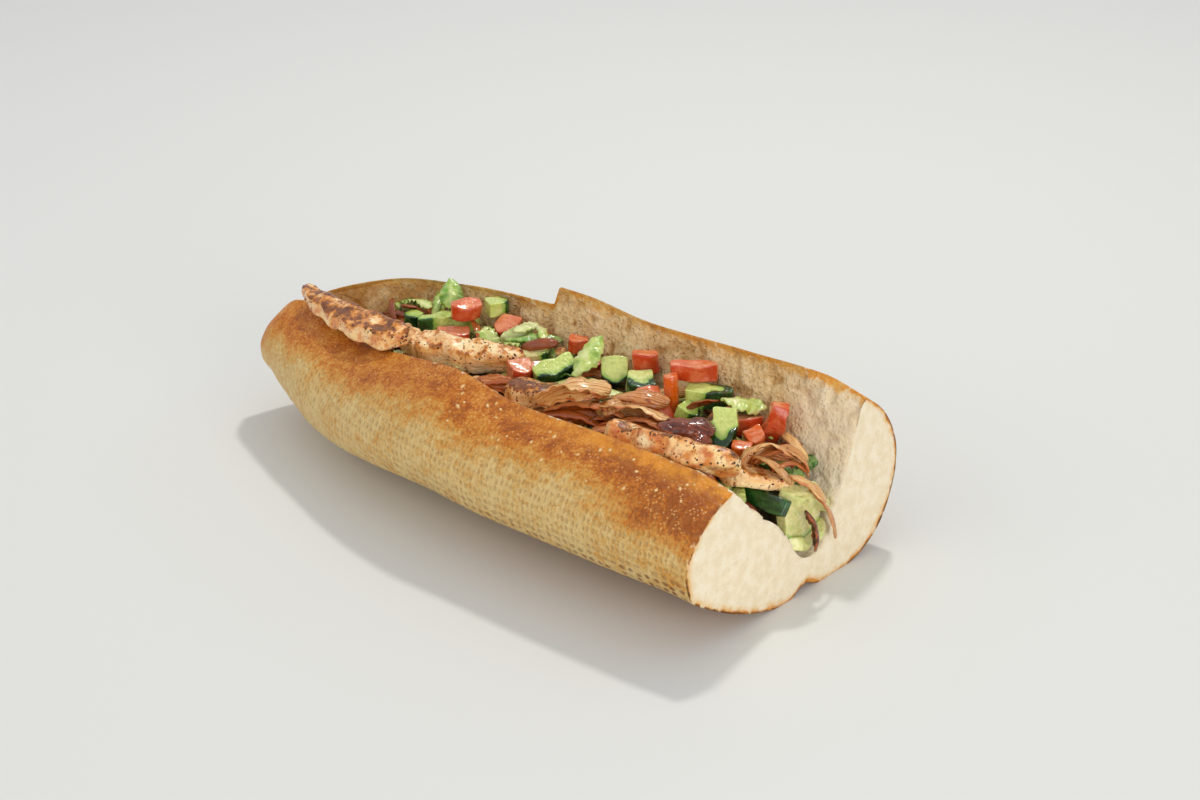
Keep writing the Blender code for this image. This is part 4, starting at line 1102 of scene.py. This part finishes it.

# %% [markdown]
# ## The chopped salad
# Under the toppings lies a bed of chopped leaves with onion, tomato and cucumber between. A core coloured
# in dark painted shade fills the fold. Small bits are then dropped on it one by one: each starts low and is
# lifted until it touches nothing, so that they fill the gaps as real ones would.

# %% The core of the bed
BED_START_X = -98 * MM
BED_END_X = 118 * MM
BED_TOP_Z = 42 * MM
BED_END_TOP_Z = 36 * MM
BED_FALL_X = 100 * MM
BED_LEAST_DEPTH = 5 * MM
CORE_GAP = 1.6 * MM


def bed_core():
    """Sections between the crumb and a rippled top, each a closed loop of floor and top, as one tube."""
    x = np.linspace(BED_START_X, BED_END_X, 150)
    _, inner = roll_outlines(x, 90)
    rings = []
    for station, line in zip(x, inner):
        fall = smoothstep((station - BED_FALL_X) / (BED_END_X - BED_FALL_X))
        top = max(BED_TOP_Z + (BED_END_TOP_Z - BED_TOP_Z) * fall, line[:, 1].min() + BED_LEAST_DEPTH)
        under = line[line[:, 1] < top]
        low, high = under[0, 0], under[-1, 0]
        y = np.linspace(low, high, 34)
        z = np.interp(y, line[:, 0], line[:, 1])
        middle = (low + high) / 2
        y = middle + (y - middle) * (1 - 2 * CORE_GAP / (high - low))
        z = np.minimum(z + CORE_GAP, top - 1 * MM)
        ring = np.concatenate([np.stack([y, z], 1), np.stack([y, 0 * y + top], 1)[::-1]])
        rings.append(np.column_stack([np.full(len(ring), station), ring]))
    rings = np.array(rings)
    points, triangles = tube(rings, *rings[[0, -1]].mean(axis=1))
    out = 1.6 * MM * layered_noise(points, 7 * MM, 3, 77) - 0.8 * MM
    up = normals_of(points, triangles)[:, 2] > 0.5
    points[:, 2] += np.where(up, out, 0)
    return points, triangles


def core_shade_finish():
    """Dark browns and greens under a wet coat: painted shade, as deep in the salad between the bits."""
    f = Finish("dark_shade_core", coat=(0.3,), Roughness=0.3)
    # Painted shade: these dark browns and greens stand for the shade deep in the gaps between the bits.
    base = f.mix(f.cloud(0.006, 3, 0.4, 0.6), (70, 62, 24), (112, 58, 26))
    base = f.mix(f.cloud(0.003, 3, 0.5, 0.7), base, (96, 112, 40))
    return f.wear(base, f.relief(f.cells(0.003), 0.001))


core_points, core_triangles = bed_core()
core = make_piece("dark_shade_core", core_points, core_triangles, core_shade_finish(), "lettuce", ["lettuce_bed"])
print("core", [round(s / MM, 1) for s in core.dimensions], "mm")

# %% Dropping the bits
LIFT = 0.9 * MM
MOST_LIFTS = 16
SQUEEZE = 0.72
BITS_START_X = BED_START_X + 5 * MM
BITS_END_X = 126 * MM
BITS_FROM_WALL = 3 * MM
BED_FALL = 6 * MM
BACK_RISE = 6 * MM
TIP_FALL = 3 * MM
FEET_Z = 50 * MM
solid_heap = BVHTree.FromPolygons(*(a.tolist() for a in joined(heap)))
laid = []


def spans_of_bed(x):
    """The least and greatest Y between the walls below the toppings' feet, at this x."""
    _, inner = roll_outlines(np.array([x]), 90)
    y, z = inner[0].T
    return y[z < FEET_Z].min(), y[z < FEET_Z].max()


def is_clear(points, triangles):
    """Whether a shape, squeezed toward its middle since soft bits press together, touches neither the big
    pieces nor the bits laid so far, nearest ones only."""
    middle = points.mean(axis=0)
    squeezed = middle + (points - middle) * SQUEEZE
    tree = BVHTree.FromPolygons(squeezed.tolist(), triangles.tolist())
    if solid_heap.overlap(tree):
        return None
    reach = np.linalg.norm(squeezed - middle, axis=1).max()
    for other, far, other_tree in laid:
        if np.linalg.norm(other - middle) < reach + far and other_tree.overlap(tree):
            return None
    return middle, reach, tree


def lay_bits(count, seed, shape_of, share_back, low, most_high, farthest=BITS_END_X):
    """Drops shapes on the bed at random places; each is lifted in small steps until it is clear, or left out.
    Low and most_high are heights above the floor. Both fall toward the cut end, and the most rises at the back
    and falls toward the tip."""
    random = np.random.default_rng(seed)
    shapes, tints = [], []
    for _ in range(count):
        x = random.uniform(BITS_START_X, farthest)
        front, back = spans_of_bed(x)
        across = random.beta(*((1.6, 1.0) if random.random() < share_back else (1.0, 1.6)))
        y = front + BITS_FROM_WALL + (back - front - 2 * BITS_FROM_WALL) * across
        turns = (random.uniform(0, 360), random.uniform(-35, 35), random.uniform(-60, 60))
        points, triangles, *stored = shape_of(random)
        points = turned(points, turns, (x, y, 0))
        fall = smoothstep((x - BED_FALL_X) / (BED_END_X - BED_FALL_X))
        floor_z = low - BED_FALL * fall - points[:, 2].min()
        highest = most_high - BED_FALL * fall + BACK_RISE * smoothstep((y - 12 * MM) / (18 * MM))
        highest = highest - TIP_FALL * (1 - smoothstep((x - BED_START_X - 9 * MM) / (12 * MM)))
        for lift in range(MOST_LIFTS):
            raised = points + [0, 0, floor_z + lift * LIFT]
            if raised[:, 2].max() > highest:
                break
            found = is_clear(raised, triangles)
            if found:
                laid.append(found)
                tints.append(np.full(len(points), random.uniform(0, 1)))
                shapes.append((raised, triangles, *stored, tints[-1]))
                break
    return shapes


def leaf_bit(random):
    """A small crinkled sheet of random size and curl."""
    size = (random.uniform(9, 24), random.uniform(4, 9), 0.5)
    form = (random.uniform(20, 100), random.uniform(20, 90), random.uniform(-70, 70))
    return thin_sheet(size, form, random.uniform(0, 9), 9.0, rows=20, columns=9, frill=0.16)


def onion_bit(random):
    """A narrow pointed sheet, random in size and curl."""
    size = (random.uniform(12, 26), random.uniform(2.5, 7), 0.8)
    form = (random.uniform(30, 120), random.uniform(30, 120), random.uniform(-50, 50))
    return thin_sheet(size, form, random.uniform(0, 9), 4.0, rows=18, columns=7)


def dice_bit(skin):
    """A way to make a small rounded box of random size, its skin spread by these degrees."""

    def shape(random):
        size = random.uniform(4.5, 8.5, 3) * [1, 1, 0.8]
        return dice(size, skin, int(random.integers(1000)), sides=28, rings=10, crisp=0.22)

    return shape


def crumb_bit(random):
    """A short chip of a chicken strip."""
    size = random.uniform(3, 7, 3) * [1.6, 1, 0.8]
    return chicken_strip(size, 0.1, int(random.integers(1000)), rings=16, sides=18)


# Six pale scraps of cucumber that fill the fold at its cut end: size, turns, and middle. They lie deeper than
# the skin reaches, so they show flesh only.
FLESH_DEPTH = 3
CUT_END_SCRAPS = (
    ((11, 8, 5), (30, 20, 10), (135, 5, 41)),
    ((8, 7, 5), (80, -20, 0), (137, 13, 40)),
    ((12, 9, 6), (10, 30, 20), (134, 11, 21)),
    ((9, 7, 5), (60, 10, -20), (137, 3, 22)),
    ((9, 8, 6), (40, 0, 30), (136, 18, 22)),
    ((8, 6, 5), (110, 30, 0), (137, 21, 31)),
)
cucumber_bits = []
for number, (size, turns, place) in enumerate(CUT_END_SCRAPS):
    points, triangles, local, depth = dice(size, CUCUMBER_SKIN, 200 + number, sides=40, rings=16, crisp=0.25)
    points = turned(points, turns, np.array(place) * MM)
    found = is_clear(points, triangles)
    if found:
        laid.append(found)
    cucumber_bits.append((points, triangles, local, depth + FLESH_DEPTH, np.full(len(points), 0.9)))
cucumber_bits += lay_bits(90, 1, dice_bit(CUCUMBER_SKIN), 0.95, 42 * MM, 51 * MM)
tomato_bits = lay_bits(150, 2, dice_bit(TOMATO_SKIN), 0.7, 42 * MM, 51 * MM, 106 * MM)
onion_bits = lay_bits(300, 3, onion_bit, 0.1, 42 * MM, 52 * MM)
leaf_bits = lay_bits(460, 4, leaf_bit, 0.85, 41 * MM, 52 * MM)
meat_bits = lay_bits(90, 5, crumb_bit, 0.1, 43 * MM, 51 * MM)
for name, bits, finish, kind, words in (
    ("chopped_cucumber", cucumber_bits, cucumber_wear, "cucumber", ("grain", "depth", "tint")),
    ("chopped_tomato", tomato_bits, tomato_wear, "tomato", ("grain", "depth", "tint")),
    ("onion_slivers", onion_bits, onion_wear, "fried_onion", ("on", "tint")),
    ("chopped_leaves", leaf_bits, leaf_wear, "lettuce", ("on", "tint")),
    ("meat_crumbs", meat_bits, meat_wear, "grilled_chicken", ("grain", "char", "spice")),
):
    points, triangles, *stored = joined(bits)
    make_piece(name, points, triangles, finish, kind, ["lettuce_bed"], **dict(zip(words, stored)))
    print(name, len(bits), "bits,", len(triangles), "triangles")

# %% [markdown]
# ## Pepper, herbs and seeds
# The meat and onion are dusted with ground pepper, paprika and dried herbs, and a few pale seeds stuck to
# the crust. Each is a tiny flattened octahedron that lies on the surface below it.


# %% Pepper, herbs and seeds
def flakes_on(points, normals, count, low, high, flat, seed):
    """Octahedra on random points of a surface: each one's axes are two tangents and the normal, scaled."""
    random = np.random.default_rng(seed)
    chosen = random.choice(len(points), count, replace=False)
    up = normals[chosen]
    side = np.cross(up, random.normal(size=(count, 3)))
    side /= np.linalg.norm(side, axis=1, keepdims=True)
    ahead = np.cross(up, side)
    size = random.uniform(low, high, (count, 1)) * MM / 2
    long = random.uniform(1.0, 2.0, (count, 1))
    corners = np.stack([side * long, ahead, -side * long, -ahead, up * flat, -up * flat], axis=1)
    corners = corners * size[:, None] + points[chosen][:, None]
    face = np.array([(0, 1, 4), (1, 2, 4), (2, 3, 4), (3, 0, 4), (1, 0, 5), (2, 1, 5), (3, 2, 5), (0, 3, 5)])
    faces = (np.arange(count)[:, None, None] * 6 + face).reshape(-1, 3)
    a, b, c = (corners.reshape(-1, 3)[faces[0, k]] for k in range(3))
    inward = np.dot(np.cross(b - a, c - a), a - points[chosen[0]]) < 0
    return corners.reshape(-1, 3), faces[:, ::-1] if inward else faces


def flake_finish(name, first, second):
    """Two shades, mixed by fine noise."""
    f = Finish(name, Roughness=0.5)
    base = f.mix(f.cloud(0.002, 2, 0.35, 0.65), first, second)
    return f.wear(base, f.relief(f.noise(0.0005, 2), 0.0001))


# The heap holds the roll, the meat, the dice, the petals, the leaves and the knots, in that order. The three
# strands at the cut end stay without pepper.
first_petal = 1 + len(CHICKEN) + len(CUCUMBER) + len(TOMATO)
first_knot = first_petal + len(ONION) + len(LETTUCE)
meats = joined(heap[1 : 1 + len(CHICKEN)])
petals = joined(heap[first_petal : first_petal + len(ONION)] + heap[first_knot:-3])
on_meat, on_onion = (meats[0], normals_of(*meats)), (petals[0], normals_of(*petals))
rim_far = roll_stored["rim"] / MM
baked = (rim_far > 3) & (rim_far < 22) & (roll_points[:, 1] < 0) & (np.abs(roll_points[:, 0] / MM - 66) < 60)
on_crust = (roll_points[baked], normals_of(roll_points, roll_triangles)[baked])
for name, (points, normals), count, low, high, shades, kind, node in (
    ("pepper", on_onion, 520, 0.35, 0.8, ((28, 18, 12), (70, 38, 20)), "fried_onion", "lettuce_bed"),
    ("herbs", on_meat, 420, 0.5, 1.2, ((52, 52, 20), (90, 52, 20)), "grilled_chicken", "chicken_2"),
    ("paprika", on_meat, 520, 0.4, 1.1, ((140, 50, 16), (180, 76, 24)), "grilled_chicken", "chicken_4"),
    ("seeds", on_crust, 30, 1.2, 2.0, ((240, 206, 146), (222, 170, 100)), "crust", "bread_roll"),
):
    points, triangles = flakes_on(points, normals, count, low, high, 0.45, len(name))
    make_piece(name, points, triangles, flake_finish(name, *shades), kind, [node])
    print(name, count)
